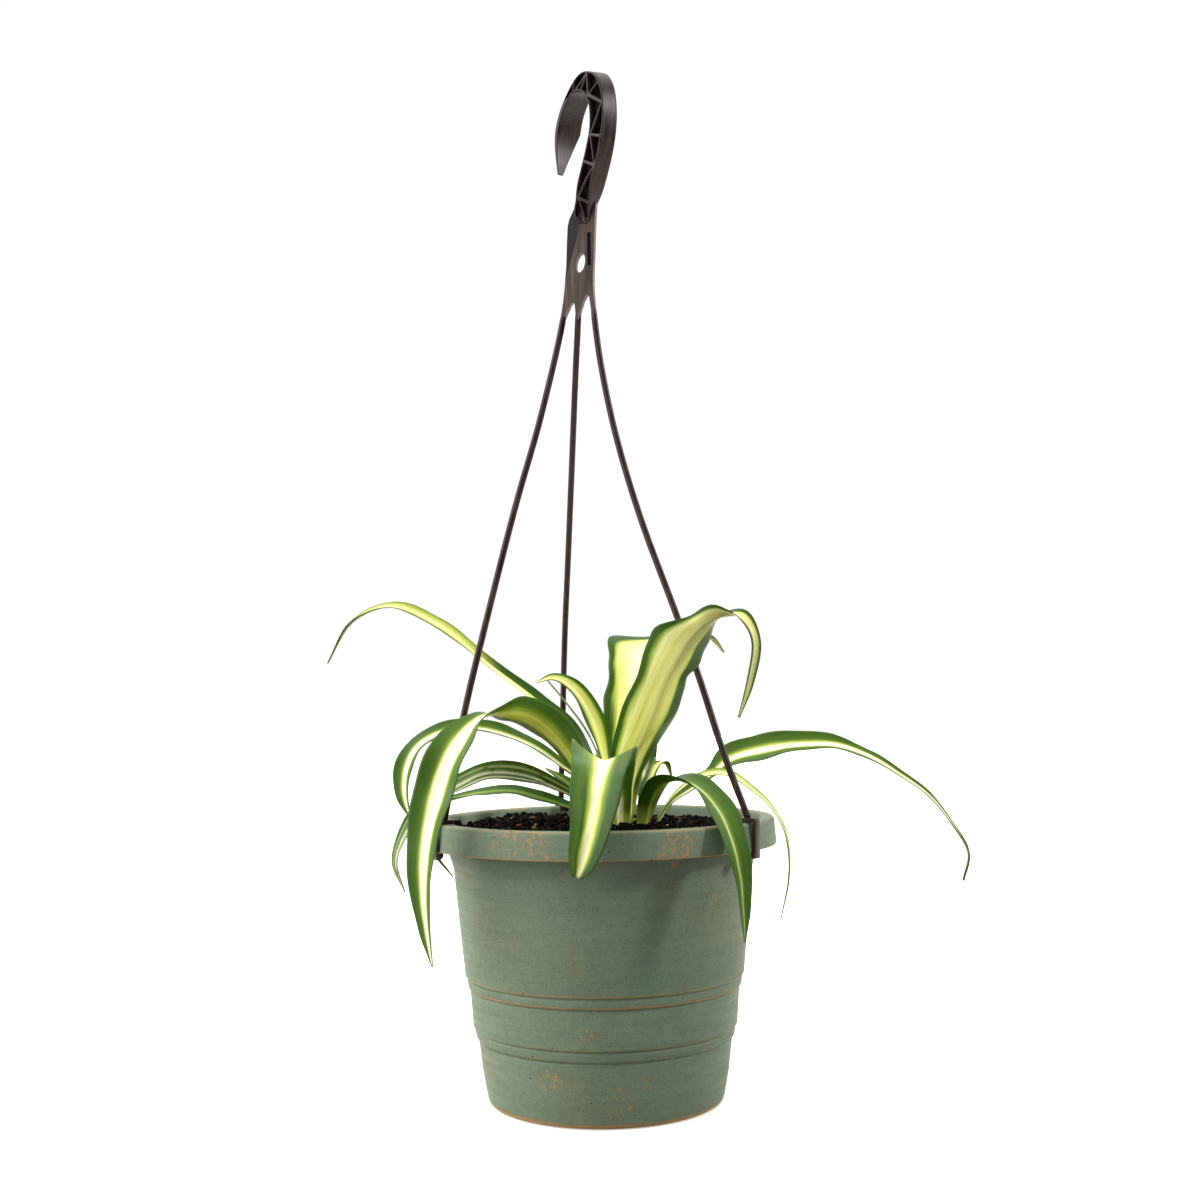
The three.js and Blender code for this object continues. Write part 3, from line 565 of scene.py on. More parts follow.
# Each leaf's root is its distance and bearing from the crown's middle, the heading that it arches
# over in and its width. A route row is x, y, z, blade width in millimetres and lean, in degrees
# to the front. An edge row shapes one margin: share along the leaf, side, millimetres wider,
# millimetres raised and the share that it reaches.
leaves = {
    "leaf_01_long_left": {"look": "green then cream", "root": (7.5, 142, 166, 4.6), "route": [
        [-3, 6, 140, 8, 10], [-13, 9, 161, 8.5, 25], [-28.5, 13, 174.6, 8.5, 35],
        [-50.5, 18, 191.2, 6, 40], [-75, 22, 210.2, 8, 40], [-97, 26, 219.2, 6.5, 30],
        [-116, 29, 212.5, 5, 20], [-128, 31, 193, 1.2, 0]]},
    "leaf_02_front_left": {"look": "yellow then white", "root": (13, 228, 222, 6), "route": [
        [-4.5, -14.5, 133, 12, 0], [-14, -18.5, 151.5, 18, -10], [-26, -24, 164.5, 21.5, -30],
        [-37.5, -33, 169.3, 20, -45], [-49, -42, 168.8, 11, 0], [-59.5, -50, 158, 21.5, 25],
        [-67, -56, 140, 22, 30], [-72, -60, 119, 18.5, 25], [-73, -61, 98, 12.5, 15],
        [-71.5, -61, 82, 7.5, 10], [-69, -61, 68, 1.2, 10]]},
    "leaf_03_left_hook": {"look": "white stripe", "root": (7.5, 192, 188, 4.6), "route": [
        [-5, -2.5, 134, 7.5, 15], [-17, -5, 145, 9.5, 25], [-31, -8, 155, 11, 25],
        [-50, -10, 162, 11.5, 25], [-66, -11, 162.5, 11.5, 30], [-80, -12, 156, 12, 35],
        [-86, -12, 146, 12, 48], [-87, -11, 134, 10, 45], [-84, -10, 123, 1.2, 40]]},
    "leaf_04_grey_left": {"look": "old striped", "root": (13, 198, 198, 5.6), "specks": 1, "route": [
        [-9, -6, 129, 9, 20], [-22, -8, 137, 10.5, 35], [-36, -12, 142.5, 11.5, 45],
        [-51, -16, 143, 11.5, 45], [-63, -19, 138, 11, 40], [-75, -23, 131, 10, 35],
        [-84, -27, 119, 8, 30], [-88, -30, 107, 6, 20], [-84, -31, 94, 1.2, 10]]},
    "leaf_05_low_left": {"look": "plain green", "root": (13, 166, 165, 5), "route": [
        [-10, 4, 124, 6, 20], [-20, 8, 128, 7, 30], [-30, 10, 131, 7.5, 35],
        [-40, 12.5, 133.5, 7.5, 35], [-53, 16, 133, 7, 30], [-64, 19, 131, 6.5, 20],
        [-75, 22, 127, 6, 10], [-81, 25, 118, 5, 0], [-79, 25, 107, 4, 0], [-69, 22, 94, 1.2, 0]]},
    "leaf_06_short_left": {"look": "plain green", "root": (13, 140, 141, 4.5), "route": [
        [-7, 10, 127, 6, 20], [-15, 14, 136, 7, 30], [-26, 20, 143, 1.2, 20]]},
    "leaf_07_middle": {"look": "cream middle", "root": (7.5, 238, 200, 4.6), "route": [
        [3, -7, 136, 7, 30], [1, -7, 150, 9.5, 50], [-4, -9, 167.5, 10.5, 60],
        [-12, -12, 179.5, 9.5, 50], [-20.5, -14, 184, 6, 40], [-28, -15, 182, 1.2, 20]]},
    "leaf_08_thread": {"look": "plain green", "root": (1.5, 170, 150, 1.8), "route": [
        [1, -1, 142, 1.8, 0], [-6, 2, 159, 1.8, 0], [-15, 6, 172, 1.6, 0], [-24, 9, 183, 1.2, 0]]},
    "leaf_09_upright_back": {"look": "bright middle", "root": (7.5, 70, 65, 5), "edges": [
        [0.6, -1, 2.2, 3.5, 0.035], [0.47, -1, -1.6, 0, 0.04], [0.4, -1, 1, 0, 0.03]],
        "route": [
        [9, 8, 136, 11, 0], [9, 12, 156, 17, 0], [11.5, 17, 178, 20.5, 0], [14, 24, 193.5, 23, 0],
        [18, 34, 199, 21.5, 0], [31, 45, 202.5, 14, 0], [43, 52, 204.5, 8, 0], [53.7, 57, 203.5, 4, 0],
        [60.6, 61, 196.3, 1.2, 0]]},
    "leaf_10_tall_right": {"look": "wide cream", "root": (7.5, 290, 300, 5), "edges": [
        [0.556, 1, 2.4, 0, 0.022], [0.62, 1, -3.6, 0, 0.035], [0.6, -1, 2, 0, 0.045],
        [0.475, -1, -2.2, 0, 0.03]],
        "route": [
        [11, -13, 133, 11, -10], [13, -21, 148, 19.5, -20], [19.8, -31, 164, 26.5, -28],
        [26.4, -40, 181, 27, -30], [31.5, -44.5, 191.5, 28, -28], [37.5, -47, 200.5, 22.5, -22],
        [45, -48.5, 207, 16, -8], [52, -49, 209.3, 12, 0], [59.5, -50, 208, 8, 0],
        [64.3, -51, 198, 5.5, 0], [61.8, -50, 181, 4.5, 0], [57, -49, 166, 1.2, 0]]},
    "leaf_11_front": {"look": "front stripe", "root": (13, 265, 265, 6), "edges": [
        [0.42, 1, 0.5, 3.5, 0.1], [0.4, -1, 1.0, 1.5, 0.07]],
        "route": [
        [7.2, -19, 131, 12, 0], [4, -29, 144, 22, 0], [1.5, -45, 151.5, 29.5, 0],
        [0, -62, 148.5, 27.5, 0], [-2, -75, 139, 22.5, 0], [-4.5, -84, 125, 18, 0],
        [-8, -88, 112, 13, 0], [-10, -88, 106, 5, 0]]},
    "leaf_12_front_right": {"look": "soft line", "root": (13, 310, 308, 6), "route": [
        [20.5, -16, 129, 12, -5], [25, -25, 138, 15, -5], [32, -36, 141, 12.5, 0],
        [41, -48, 137.5, 15, 0], [48, -56, 129, 17, 5], [53, -63, 116, 13, 10], [55.5, -65, 102, 9, 10],
        [56, -66, 90, 6.5, 5], [56, -66, 77, 1.2, 0]]},
    "leaf_13_long_right": {"look": "white stripe", "root": (13, 16, 357, 5.6), "dryTip": 1, "route": [
        [31, 2, 128, 6, 20], [40, 1, 134, 5.5, 35], [49, 0, 140.8, 7, 40], [58, 0, 148, 16, 45],
        [72, -1, 151.5, 17, 45], [88, -2, 153.6, 13, 45], [104, -3, 153, 10, 40], [118, -4, 148, 8, 35],
        [131, -5, 140, 6, 35], [144, -7, 130, 4.5, 30], [154, -8, 117, 4, 20], [160, -10, 105, 5, 10],
        [157, -11, 93, 2.2, 0]]},
    "leaf_14_narrow_right": {"look": "pale narrow", "root": (13, 344, 345, 4.5), "route": [
        [32, -9, 132, 5, 20], [43, -12, 140, 5.5, 30], [55, -14, 141, 5, 35], [65, -17, 134.5, 4.2, 30],
        [73, -19, 127, 3.5, 20], [78, -20, 118, 3, 15], [80, -21, 107, 2.5, 5], [79.5, -21, 95, 2, 0],
        [76, -20, 79, 1.2, 0]]},
    "leaf_15_young_front": {"look": "plain green", "root": (7.5, 338, 340, 4.6), "route": [
        [17.5, -2, 133, 7, 20], [21, 1, 142, 6.5, 20], [24, 4, 148, 2, 0]]},
    "leaf_16_young_back": {"look": "cream middle", "root": (7.5, 25, 40, 4.6), "route": [
        [20, 7, 133, 6, 0], [25, 12, 144, 7, 0], [29, 16, 145, 5, 0], [32, 19, 138, 1.2, 0]]},
    "leaf_17_back": {"look": "white stripe", "root": (13, 82, 82, 5.6), "route": [
        [14, 21, 143, 10, 0], [18, 38, 166, 13, 0], [22, 62, 172, 13, 0], [23, 84, 156, 12, 0],
        [22, 97, 130, 9, 0], [20, 102, 100, 1.2, 0]]},
    "leaf_18_back_low": {"look": "plain green", "root": (13, 114, 102, 5.6), "route": [
        [1, 20, 134, 10, 0], [-3, 38, 147, 12, 0], [-7, 60, 146, 12, 0], [-10, 80, 130, 10, 0],
        [-12, 92, 106, 1.2, 0]]},
}


def lookStops(line):
    # a look's percents and tones as the stops of a ramp
    words = line.split()
    return [[int(percent) / 100, shades[tone]] for percent, tone in zip(words[::2], words[1::2])]


def leafMaterial(name, look, specks, dryTip):
    # Living leaf blade: a waxy, satin skin over soft tissue that lets some light through; the
    # stripes lack green and the fine veins run the whole length, about 0.7 mm apart. The blade gets
    # firmer and drier towards its tip.
    material, add = startMaterial(name, {
        "Roughness": 0.38, "IOR": 1.42, "Specular IOR Level": 0.22,
        "Subsurface Radius": (1.0, 1.0, 0.5), "Subsurface Scale": 0.0016})
    material.node_tree.nodes["Principled BSDF"].subsurface_method = "BURLEY"
    across, share = [add("Attribute", out="Fac", attribute_name=key) for key in ("across", "share")]
    grain = add("Attribute", out="Vector", attribute_name="grain")
    drawn = drawLayers(add, grain, {"wobble": (0.16, 0.035, 1, 2, 0.5), "veins": (1.3, 0.025, 1, 3, 0.6)})
    shift = add("MapRange", (drawn["wobble"], 0.2, 0.8, -0.045, 0.045))
    half = add("Math", (across, 0.5, 0.5), operation="MULTIPLY_ADD")
    place = add("Math", (half, shift), operation="ADD")
    near, far, begins, ends = look
    beyond = add("MapRange", (share, begins, ends), interpolation_type="SMOOTHSTEP")
    near, far = [add("ValToRGB", (place,), lookStops(line)) for line in (near, far)]
    blade = add("Mix", {0: beyond, 6: near, 7: far}, out=2, data_type="RGBA")
    tone = add("ValToRGB", (drawn["veins"],), [[0.3, "dde2c0"], [0.52, "fafaf2"], [0.7, "ffffff"]])
    base = add("Mix", {0: 0.8, 6: blade, 7: tone}, out=2, data_type="RGBA", blend_type="MULTIPLY")
    # the root is paler, an old blade is specked, and a dry tip is brown
    tints = [("yolk", add("MapRange", (share, 0, 0.12, 0.55, 0)))]
    if specks:
        spots = drawLayers(add, grain, {"spots": (0.5, 0.16, 1, 5, 0.75)})["spots"]
        tints.append(("brown", add("MapRange", (spots, 0.56, 0.63, 0, 0.75))))
    if dryTip:
        tints.append(("brown", add("MapRange", (share, 0.93, 0.98, 0, 0.85))))
    for shade, amount in tints:
        base = add("Mix", {0: amount, 6: base, 7: toLinear(shades[shade])}, out=2, data_type="RGBA")
    soft = add("MapRange", (share, 0.45, 0.65, 0.5, 0.08))
    bump = add("Bump", {"Height": drawn["veins"], "Strength": 0.3, "Distance": 0.00015})
    return finishMaterial(material, {"Base Color": base, "Subsurface Weight": soft, "Normal": bump})


def soften(values):
    # a moving average over eleven stations with a bell-shaped weight, with the ends held
    weight = np.exp(-np.linspace(-2, 2, 11) ** 2)
    padded = np.pad(values, 5, mode="reflect", reflect_type="odd")
    return np.convolve(padded, weight / weight.sum(), mode="valid")


def leafMidrib(leaf):
    # a smooth curve from the root on the crown's dome along the route, with width and lean eased
    # from row to row
    ring, bearing, _, base = leaf["root"]
    bearing = np.radians(bearing)
    drop = (crown["topMm"] - crown["edgeMm"]) * (ring / crown["radiusMm"]) ** 2
    root = [crown["xMm"] + ring * np.cos(bearing), crown["yMm"] + ring * np.sin(bearing),
            crown["topMm"] - drop - crown["sinkMm"], base, 0]
    table = np.array([root, *leaf["route"]], float)
    length = throughPoints(table[:, :3], 9)[2][-1]
    count = max(16, int(length / leafBuild["stationMm"]))
    middle, rows, along = throughPoints(table[:, :3], count)
    part = rows - np.floor(rows)
    eased = np.floor(rows) + 0.5 * part + 0.5 * part * part * (3 - 2 * part)
    width, lean = [soften(np.interp(eased, np.arange(len(table)), table[:, k])) for k in (3, 4)]
    return middle, along, width, lean


def leafDirections(middle, heading, lean):
    # where the blade's side and its upper face point: level across the heading, turned by the lean
    heading, lean = np.radians(heading), np.radians(lean)[:, None]
    ahead = unit(np.gradient(middle, axis=0))
    face = unit(np.cross([np.sin(heading), -np.cos(heading), 0], ahead))
    front = np.array([0, -1.0, 0])
    toFront = unit(front - ahead * (ahead @ front)[:, None])
    face = unit(face * np.cos(lean) + toFront * np.sin(lean))
    return unit(np.cross(ahead, face)), face


def makeLeaf(number, node, leaf):
    # A point at share s across (-1 to 1) lies s half widths to the side of the midrib and
    # |s|^1.2 x rise up the fold, plus waves that grow with s^2, and half the thickness above or below.
    middle, along, width, lean = leafMidrib(leaf)
    side, face = leafDirections(middle, leaf["root"][2], lean)
    count, share = len(middle), along / along[-1]
    fold = np.radians(leafBuild["foldDegrees"])
    phase = np.random.default_rng(number + 11).uniform(0, 2 * np.pi, 6)
    s = np.linspace(-1, 1, leafBuild["columns"])
    slow, quick = leafBuild["waistMm"]
    waist = 1 + 0.025 * np.sin(along / slow + phase[4]) + 0.02 * np.sin(along / quick + phase[5])
    half = (width * waist / 2)[:, None]
    slow, quick = leafBuild["waveMm"]
    left, right = [(0.6 * np.sin(along / slow + phase[k])
                    + 0.4 * np.sin(along / quick + phase[k + 2]))[:, None] for k in (0, 1)]
    calm = (np.sin(np.pi * np.clip(share, 0, 1)) ** 0.6)[:, None]
    ripple = np.where(s < 0, left, right) * s**2 * calm * half * leafBuild["waveHeight"]
    rise = (np.abs(s) ** 1.2 - 0.5) * half * np.sin(fold) + ripple
    thick = (leafBuild["edgeMm"] + (leafBuild["thickMm"] - leafBuild["edgeMm"]) * (1 - s**2)) / 2
    thick = thick * np.minimum(1, 0.35 + width / 5)[:, None]
    wide = s * half * np.cos(fold)
    for at, edge, wider, raised, spread in leaf.get("edges", []):
        bell = np.exp(-(((share - at) / spread) ** 2))[:, None] * np.clip(s * edge, 0, 1) ** 2
        wide = wide + edge * wider * bell
        rise = rise + raised * bell
    # each station is a ring: over the upper face and back under the lower one
    upper, lower = [middle[:, None] + side[:, None] * wide[..., None]
                    + face[:, None] * (rise + sign * thick)[..., None] for sign in (1, -1)]
    ringPoints = np.concatenate([upper, lower[:, ::-1]], 1)
    columns = ringPoints.shape[1]
    around = np.concatenate([s, s[::-1]])
    # the grain is millimetres across and along, and a number that sets each leaf's pattern apart
    grain = np.stack([(around * half).ravel(), np.repeat(along, columns),
                      np.full(count * columns, number * 7.3)], 1)
    # the quads that close an end join each upper point to the lower one under it
    over = np.arange(leafBuild["columns"] - 1)
    under = columns - 1 - over
    cap = np.stack([over, over + 1, under - 1, under], 1)
    ends = cap.tolist() + (cap + (count - 1) * columns)[:, ::-1].tolist()
    specks, dryTip = leaf.get("specks"), leaf.get("dryTip")
    title = "spider plant blade, " + leaf["look"] + " specked" * bool(specks) + " dry" * bool(dryTip)
    material = bpy.data.materials.get(title) or leafMaterial(title, looks[leaf["look"]], specks, dryTip)
    makePiece(node.replace("leaf", "blade"), ringPoints, gridFaces(count, columns).tolist() + ends,
              material, "old_leaf" if specks else "leaf", node,
              across=np.tile(around, count), share=np.repeat(share, columns), grain=grain)


def crownMaterial():
    # Living leaf bases that the soil keeps from the light: pale, satin and finely lined upwards.
    material, add = startMaterial("spider plant crown, pale leaf bases", {
        "Roughness": 0.45, "Subsurface Weight": 0.2, "Subsurface Radius": (0.9, 1.0, 0.4),
        "Subsurface Scale": 0.0015})
    place = add("TexCoord", out="Object")
    lines = drawLayers(add, place, {"lines": (900, 900, 90, 3, 0.5)})["lines"]
    colour = add("ValToRGB", (lines,), list(zip((0.3, 0.5, 0.7), crown["tones"])))
    bump = add("Bump", {"Height": lines, "Strength": 0.5, "Distance": 0.0005})
    return finishMaterial(material, {"Base Color": colour, "Normal": bump})


def makeCrown():
    # a low dome whose radius and height swing with the bearing, so that it reads as sheaths
    bearing = fullTurn(crown["columns"])
    share = np.append(np.linspace(0.02, 1, crown["rings"]), [1.0, 0.8])[:, None]
    swing = bearing * crown["lobes"]
    distance = share * crown["radiusMm"] * (0.9 + 0.05 * np.abs(np.sin(swing)) * share)
    height = crown["topMm"] - (crown["topMm"] - crown["edgeMm"]) * share**2 - 0.8
    height = height + crown["lobeMm"] * np.abs(np.sin(swing + share * 3)) * share
    height[-2:] = [[crown["bottomMm"] + 4], [crown["bottomMm"]]]
    points = np.stack([crown["xMm"] + distance * np.cos(bearing),
                       crown["yMm"] + distance * np.sin(bearing), height], -1)
    makePiece("crown_sheaths", points, tubeFaces(*height.shape), crownMaterial(), "leaf_base", "crown")
    print("crown done")


# The hanger: hook, plate, three strands and three clips, moulded as one.
hanger = {
    "xMm": -6.7, "strandRadiusMm": 1.45, "clipRadiusMm": 74, "clipWidthMm": 4,
    "hookDepthMm": 9.2, "hookTurn": 45, "hookTilt": 0.22, "plateTurn": 15, "plateDepthMm": 3.2,
    "neckMm": 2.8, "webMm": 1.8, "borderMm": 0.75, "ribEndMm": 0.5, "slopeMm": 0.4, "roundMm": 0.45,
    # heights between which the hook gets thicker, turns and tilts; where its tip leg is, how much
    # wider that gets with height and its full width
    "thickenMm": (388, 408), "turnMm": (388, 410), "tiltMm": (425, 450),
    "leg": {"acrossMm": (-4, 6), "aboveMm": 412, "widens": 0.57, "widestMm": 14.6},
    # the plate's tones are the brown made lighter: a painted sheen on its front
    "brown": ["1f130d", "2c1d16", "42332a"], "plateSheen": ["42362f", "54473f", "6b5f57"],
    # the recess tone is painted shade for the hanger's pockets and recesses
    "recess": "0d0907",
    "hookOuterMm": [
        [-9.2, 415.8], [-10.4, 423.7], [-11, 431.3], [-10.2, 438], [-5.9, 447.4], [1.9, 456.4],
        [4.9, 458.3], [8, 459], [13.7, 457.2], [17, 454], [19.5, 448.8], [20.9, 440.5],
        [20.5, 431.5], [17.9, 420.5], [13.2, 408.8], [9.9, 403], [7.3, 398.6], [5.4, 392.5],
        [4.4, 386]],
    "hookInnerMm": [
        [-8.1, 415.8], [-9, 423.3], [-9.1, 430.8], [-8.3, 436.6], [-6.6, 442], [-3.8, 446.7],
        [-0.8, 450.2], [1.8, 451.2], [4.6, 451.2], [7.4, 449.8], [9.6, 447.2], [11.3, 443.5],
        [12, 438], [11.6, 431], [9.8, 424.7], [5, 412.1], [0.8, 401.8], [-1.4, 396.6],
        [-0.2, 391.5], [2.6, 386]],
    # places where a rib of the sides ends, on the outer edge (a to i) and on the inner one
    "jointsMm": {
        "a": [-4.5, 448.3], "b": [2.2, 456.3], "c": [10.8, 457.8], "d": [17.6, 451.3],
        "e": [20, 441.3], "f": [19.4, 426.1], "g": [14.7, 413.8], "h": [7, 399.1],
        "i": [3.8, 389.5], "p": [1.5, 450.8], "q": [3.2, 451.7], "r": [6.8, 451.2],
        "s": [11.2, 447.3], "t": [12.3, 428.5], "u": [8.1, 417.4], "v": [2.3, 402.2],
        "x": [-0.6, 394]},
    "ribHalfMm": {"bp": 0.3, "cq": 0.35, "cr": 0.3, "cs": 0.4, "ds": 0.35, "es": 0.7, "et": 0.35,
                  "ft": 0.65, "gt": 0.35, "gu": 0.65, "gv": 0.35, "hv": 0.65, "iv": 0.35},
    "paired": ["bp", "cr", "ds", "ft", "gu", "hv"],
    "plateMm": [
        [-4.9, 394], [-5.6, 391], [-5.9, 384], [-6.1, 372], [-6.7, 364], [-7.8, 354.3],
        [-8.5, 350], [-8.5, 346.5], [-7.8, 346.5], [-7, 348.6], [-5.6, 351.4], [-4.2, 354.2],
        [-3.2, 355.4], [-2.4, 354.3], [-2.1, 352], [-1.9, 349], [-1.5, 346.8], [-0.9, 346.8],
        [-0.2, 349], [0.5, 351.4], [1.8, 355.2], [3, 357.4], [3.9, 358.2], [4.6, 357], [5, 354],
        [5.5, 349.5], [6, 346.5], [6.7, 346.5], [7, 352], [6.5, 362], [6.6, 367], [7.2, 378],
        [7.6, 388], [8, 395], [8.7, 403.8], [8.3, 404], [6.9, 398], [5.6, 394], [4.4, 393],
        [1, 398], [-2.4, 398.6]],
    "slotMm": {"across": 0.8, "height": 372.8, "halfWidth": 2.1, "halfHeight": 4.5, "lean": 10},
    "pillMm": {"across": 5.1, "low": 372, "high": 385.8, "radius": 0.8, "depth": 0.8, "lip": 0.22},
    # the plate's upper left falls away from its front: corners of the cut as across, depth, height
    "facetMm": [[-6.5, -1.6, 365], [3.8, -1.6, 400], [-6, 1.3, 400], [-9, -1.6, 365],
                [-9, -5, 365], [-9, 1.3, 400], [-9, -5, 400], [3.8, -5, 400]],
    # each strand's bearing at the rim and its route down to there
    "strands": [
        [205, [[-13.9, 2.1, 355], [-14.8, 1.5, 347], [-25.4, -6.7, 300], [-36.5, -13.3, 260],
               [-49.8, -21.1, 207], [-58.5, -26.5, 170], [-64.5, -29.9, 138]]],
        [106, [[-7.5, 0.2, 357], [-7.8, 1.5, 348], [-9.4, 9.5, 325], [-11.9, 24, 285],
               [-14.7, 39.8, 241], [-16.9, 51.5, 207], [-19, 64, 160], [-19.9, 69, 138]]],
        [325, [[-1, -1.5, 357], [-0.4, -1.8, 348], [2.2, -3, 326], [8.1, -6.9, 294],
               [18.1, -13.8, 256], [33.4, -24, 210], [42.5, -30.3, 182], [51.5, -36.3, 151]]]],
}


def hangerMaterial(name, tones, recessShade=0):
    # Polypropylene, injection moulded in dark brown: satin, with faint flow marks along the
    # moulding. The sunk pockets (attribute sunk) and recesses are rougher; their near-black tone is
    # painted shade.
    material, add = startMaterial("moulded polypropylene, " + name, {
        "Roughness": 0.24, "IOR": 1.49, "Specular IOR Level": 0.2})
    place = add("TexCoord", out="Object")
    flow = drawLayers(add, place, {"flow": (500, 500, 40, 4, 0.5)})["flow"]
    colour = add("ValToRGB", (flow,), list(zip((0.3, 0.52, 0.72), tones)))
    pocket = add("Attribute", out="Fac", attribute_name="sunk")
    sunk = add("Math", (pocket, 0.95 * recessShade), operation="MAXIMUM")
    # painted shade: the near-black recess tone where the side is sunk, and all over a recess material
    withRecessShade = add("Mix", {0: sunk, 6: colour, 7: toLinear(hanger["recess"])}, out=2, data_type="RGBA")
    satin = add("MapRange", (flow, 0.3, 0.7, 0.28, 0.44))
    rough = add("Math", (sunk, 0.35, satin), operation="MULTIPLY_ADD")
    pebbled = add("TexNoise", {"Vector": place, "Scale": 900, "Detail": 2})
    bump = add("Bump", {"Height": pebbled, "Strength": 0.12, "Distance": 0.0002})
    return finishMaterial(material, {"Base Color": withRecessShade, "Roughness": rough, "Normal": bump})


def placeHook(points):
    # From the hanger's own plane to its place: across, depth, height. The lower end turns and thins
    # towards the plate, the tip leg is a wide blade that tapers to the tip, the crown tilts a little.
    across, depth, height = np.moveaxis(points, -1, 0)
    full, neck, leg = hanger["hookDepthMm"], hanger["neckMm"], hanger["leg"]
    slim = neck / full + (1 - neck / full) * smooth(*hanger["thickenMm"], height)
    overTip = height - hanger["hookOuterMm"][0][1]
    legWidth = np.clip(neck + overTip * leg["widens"], neck, leg["widestMm"])
    onLeg = (1 - smooth(*leg["acrossMm"], across)) * (height > leg["aboveMm"])
    flared = (depth + full / 2) / full * legWidth - full / 2
    depth = depth * slim * (1 - onLeg) + flared * onLeg
    turning = (hanger["hookTurn"] - hanger["plateTurn"]) * smooth(*hanger["turnMm"], height)
    turn = np.radians(hanger["plateTurn"] + turning)
    lift = (depth + full / 2) * hanger["hookTilt"] * smooth(*hanger["tiltMm"], height)
    return np.stack([hanger["xMm"] + across * np.cos(turn) + depth * np.sin(turn),
                     -across * np.sin(turn) + depth * np.cos(turn), height + lift], -1)


def ribDistance(points, start, end):
    # how far the points are from the nearest point of a rib's midline
    line = end - start
    share = np.clip(((points - start) @ line) / (line @ line), 0, 1)[..., None]
    return np.linalg.norm(points - start - share * line, axis=-1)


def sideOf(points, start, end, inside):
    # signed distance to the line through start and end, positive where inside lies
    line = unit(end - start)
    normal = np.array([-line[1], line[0]])
    return (points - start) @ (normal * np.sign((inside - start) @ normal))


def pairOutlines(rows):
    # Points of the outer and the inner outline that face each other, spread evenly between the ribs
    # that pair the two, and the number of the rib that each row has reached.
    outlines = [throughPoints(hanger[key], 900) for key in ("hookOuterMm", "hookInnerMm")]
    knots = []
    for i, (line, _, run) in enumerate(outlines):
        ends = np.array([hanger["jointsMm"][pair[i]] for pair in hanger["paired"]])
        nearest = np.linalg.norm(line - ends[:, None], axis=-1).argmin(1)
        knots.append([0, *run[nearest], run[-1]])
    gaps = np.diff(knots[0])
    number = np.interp(np.linspace(0, 1, rows), np.append(0, np.cumsum(gaps)) / gaps.sum(),
                       np.arange(len(gaps) + 1))
    edges = []
    for (line, _, run), knot in zip(outlines, knots):
        at = np.interp(number, np.arange(len(knot)), knot)
        edges.append(np.stack([np.interp(at, run, line[:, k]) for k in (0, 1)], 1))
    return *edges, number[:, None]


def pocketShare(flat, border, number):
    # 1 where the side is sunk: far from the border, from every rib and from the solid tip
    joints = {key: np.array(place, float) for key, place in hanger["jointsMm"].items()}
    clear = border - hanger["borderMm"]
    for pair, half in hanger["ribHalfMm"].items():
        clear = np.minimum(clear, ribDistance(flat, joints[pair[0]], joints[pair[1]]) - half)
    for ends, inside, there in (("ap", "c", number < 1.2), ("ix", "v", number > 5.8)):
        limit = sideOf(flat, joints[ends[0]], joints[ends[1]], joints[inside]) - hanger["ribEndMm"]
        clear = np.where(there, np.minimum(clear, limit), clear)
    return smooth(0, hanger["slopeMm"], np.where(number < 0.4, -1.0, clear))


def makeHook(material):
    # The band between the outlines. A side face lies half the depth out, less a pocket where it is
    # sunk, and less a quarter round at the border.
    outer, inner, number = pairOutlines(500)
    w = np.concatenate([[0, 0.008, 0.02, 0.035], np.linspace(0.055, 0.945, 46),
                        [0.965, 0.98, 0.992, 1]])[:, None]
    flat = outer[:, None] * (1 - w) + inner[:, None] * w
    band = np.linalg.norm(inner - outer, axis=1)[:, None]
    border = np.minimum(w[:, 0], 1 - w[:, 0]) * band
    sunk = pocketShare(flat, border, number)
    short = np.clip(1 - border / hanger["roundMm"], 0, 1)
    ease = hanger["roundMm"] * (1 - np.sqrt(1 - short**2))
    full = hanger["hookDepthMm"]
    outwards = full / 2 - sunk * ((full - hanger["webMm"]) / 2) - ease
    v = np.linspace(-1, 1, 11)[1:-1]
    loops, marks = [], []
    for direction, edge in ((1, inner), (-1, outer)):
        side = np.stack([flat[..., 0], -direction * outwards, flat[..., 1]], -1)
        depth = v * (full / 2 - hanger["roundMm"] * 0.999) * direction + 0 * band
        rim = np.stack([edge[:, None, 0] + 0 * depth, depth, edge[:, None, 1] + 0 * depth], -1)
        loops += [side[:, ::direction], rim]
        marks += [sunk[:, ::direction], 0 * depth]
    points = placeHook(np.concatenate(loops, 1))
    # the sunk share also goes to the material, which darkens the pockets with it as painted shade
    makePiece("hanger_hook", points, tubeFaces(*points.shape[:2]), material, "hanger_plastic",
              "hanger", sunk=np.concatenate(marks, 1).ravel())


def slabPoints(outline, depth):
    # an outline of across and height, set on both sides of its plane
    outline = np.asarray(outline, float)
    return np.stack([np.insert(outline, 1, y, axis=1) for y in (-depth / 2, depth / 2)])


def turnAbout(points, degrees, shift=0.0):
    # points turned about the upright axis, then shifted across
    turn = np.radians(degrees)
    x, y, z = np.moveaxis(points, -1, 0)
    return np.stack([x * np.cos(turn) - y * np.sin(turn) + shift,
                     x * np.sin(turn) + y * np.cos(turn), z], -1)


def pillLine(pill, radius, count):
    # two half circles, one above the other
    half = np.linspace(0, np.pi, count)
    circle = radius * np.stack([np.cos(half), np.sin(half)], 1)
    return np.vstack([[pill["across"], pill["high"]] + circle, [pill["across"], pill["low"]] - circle])


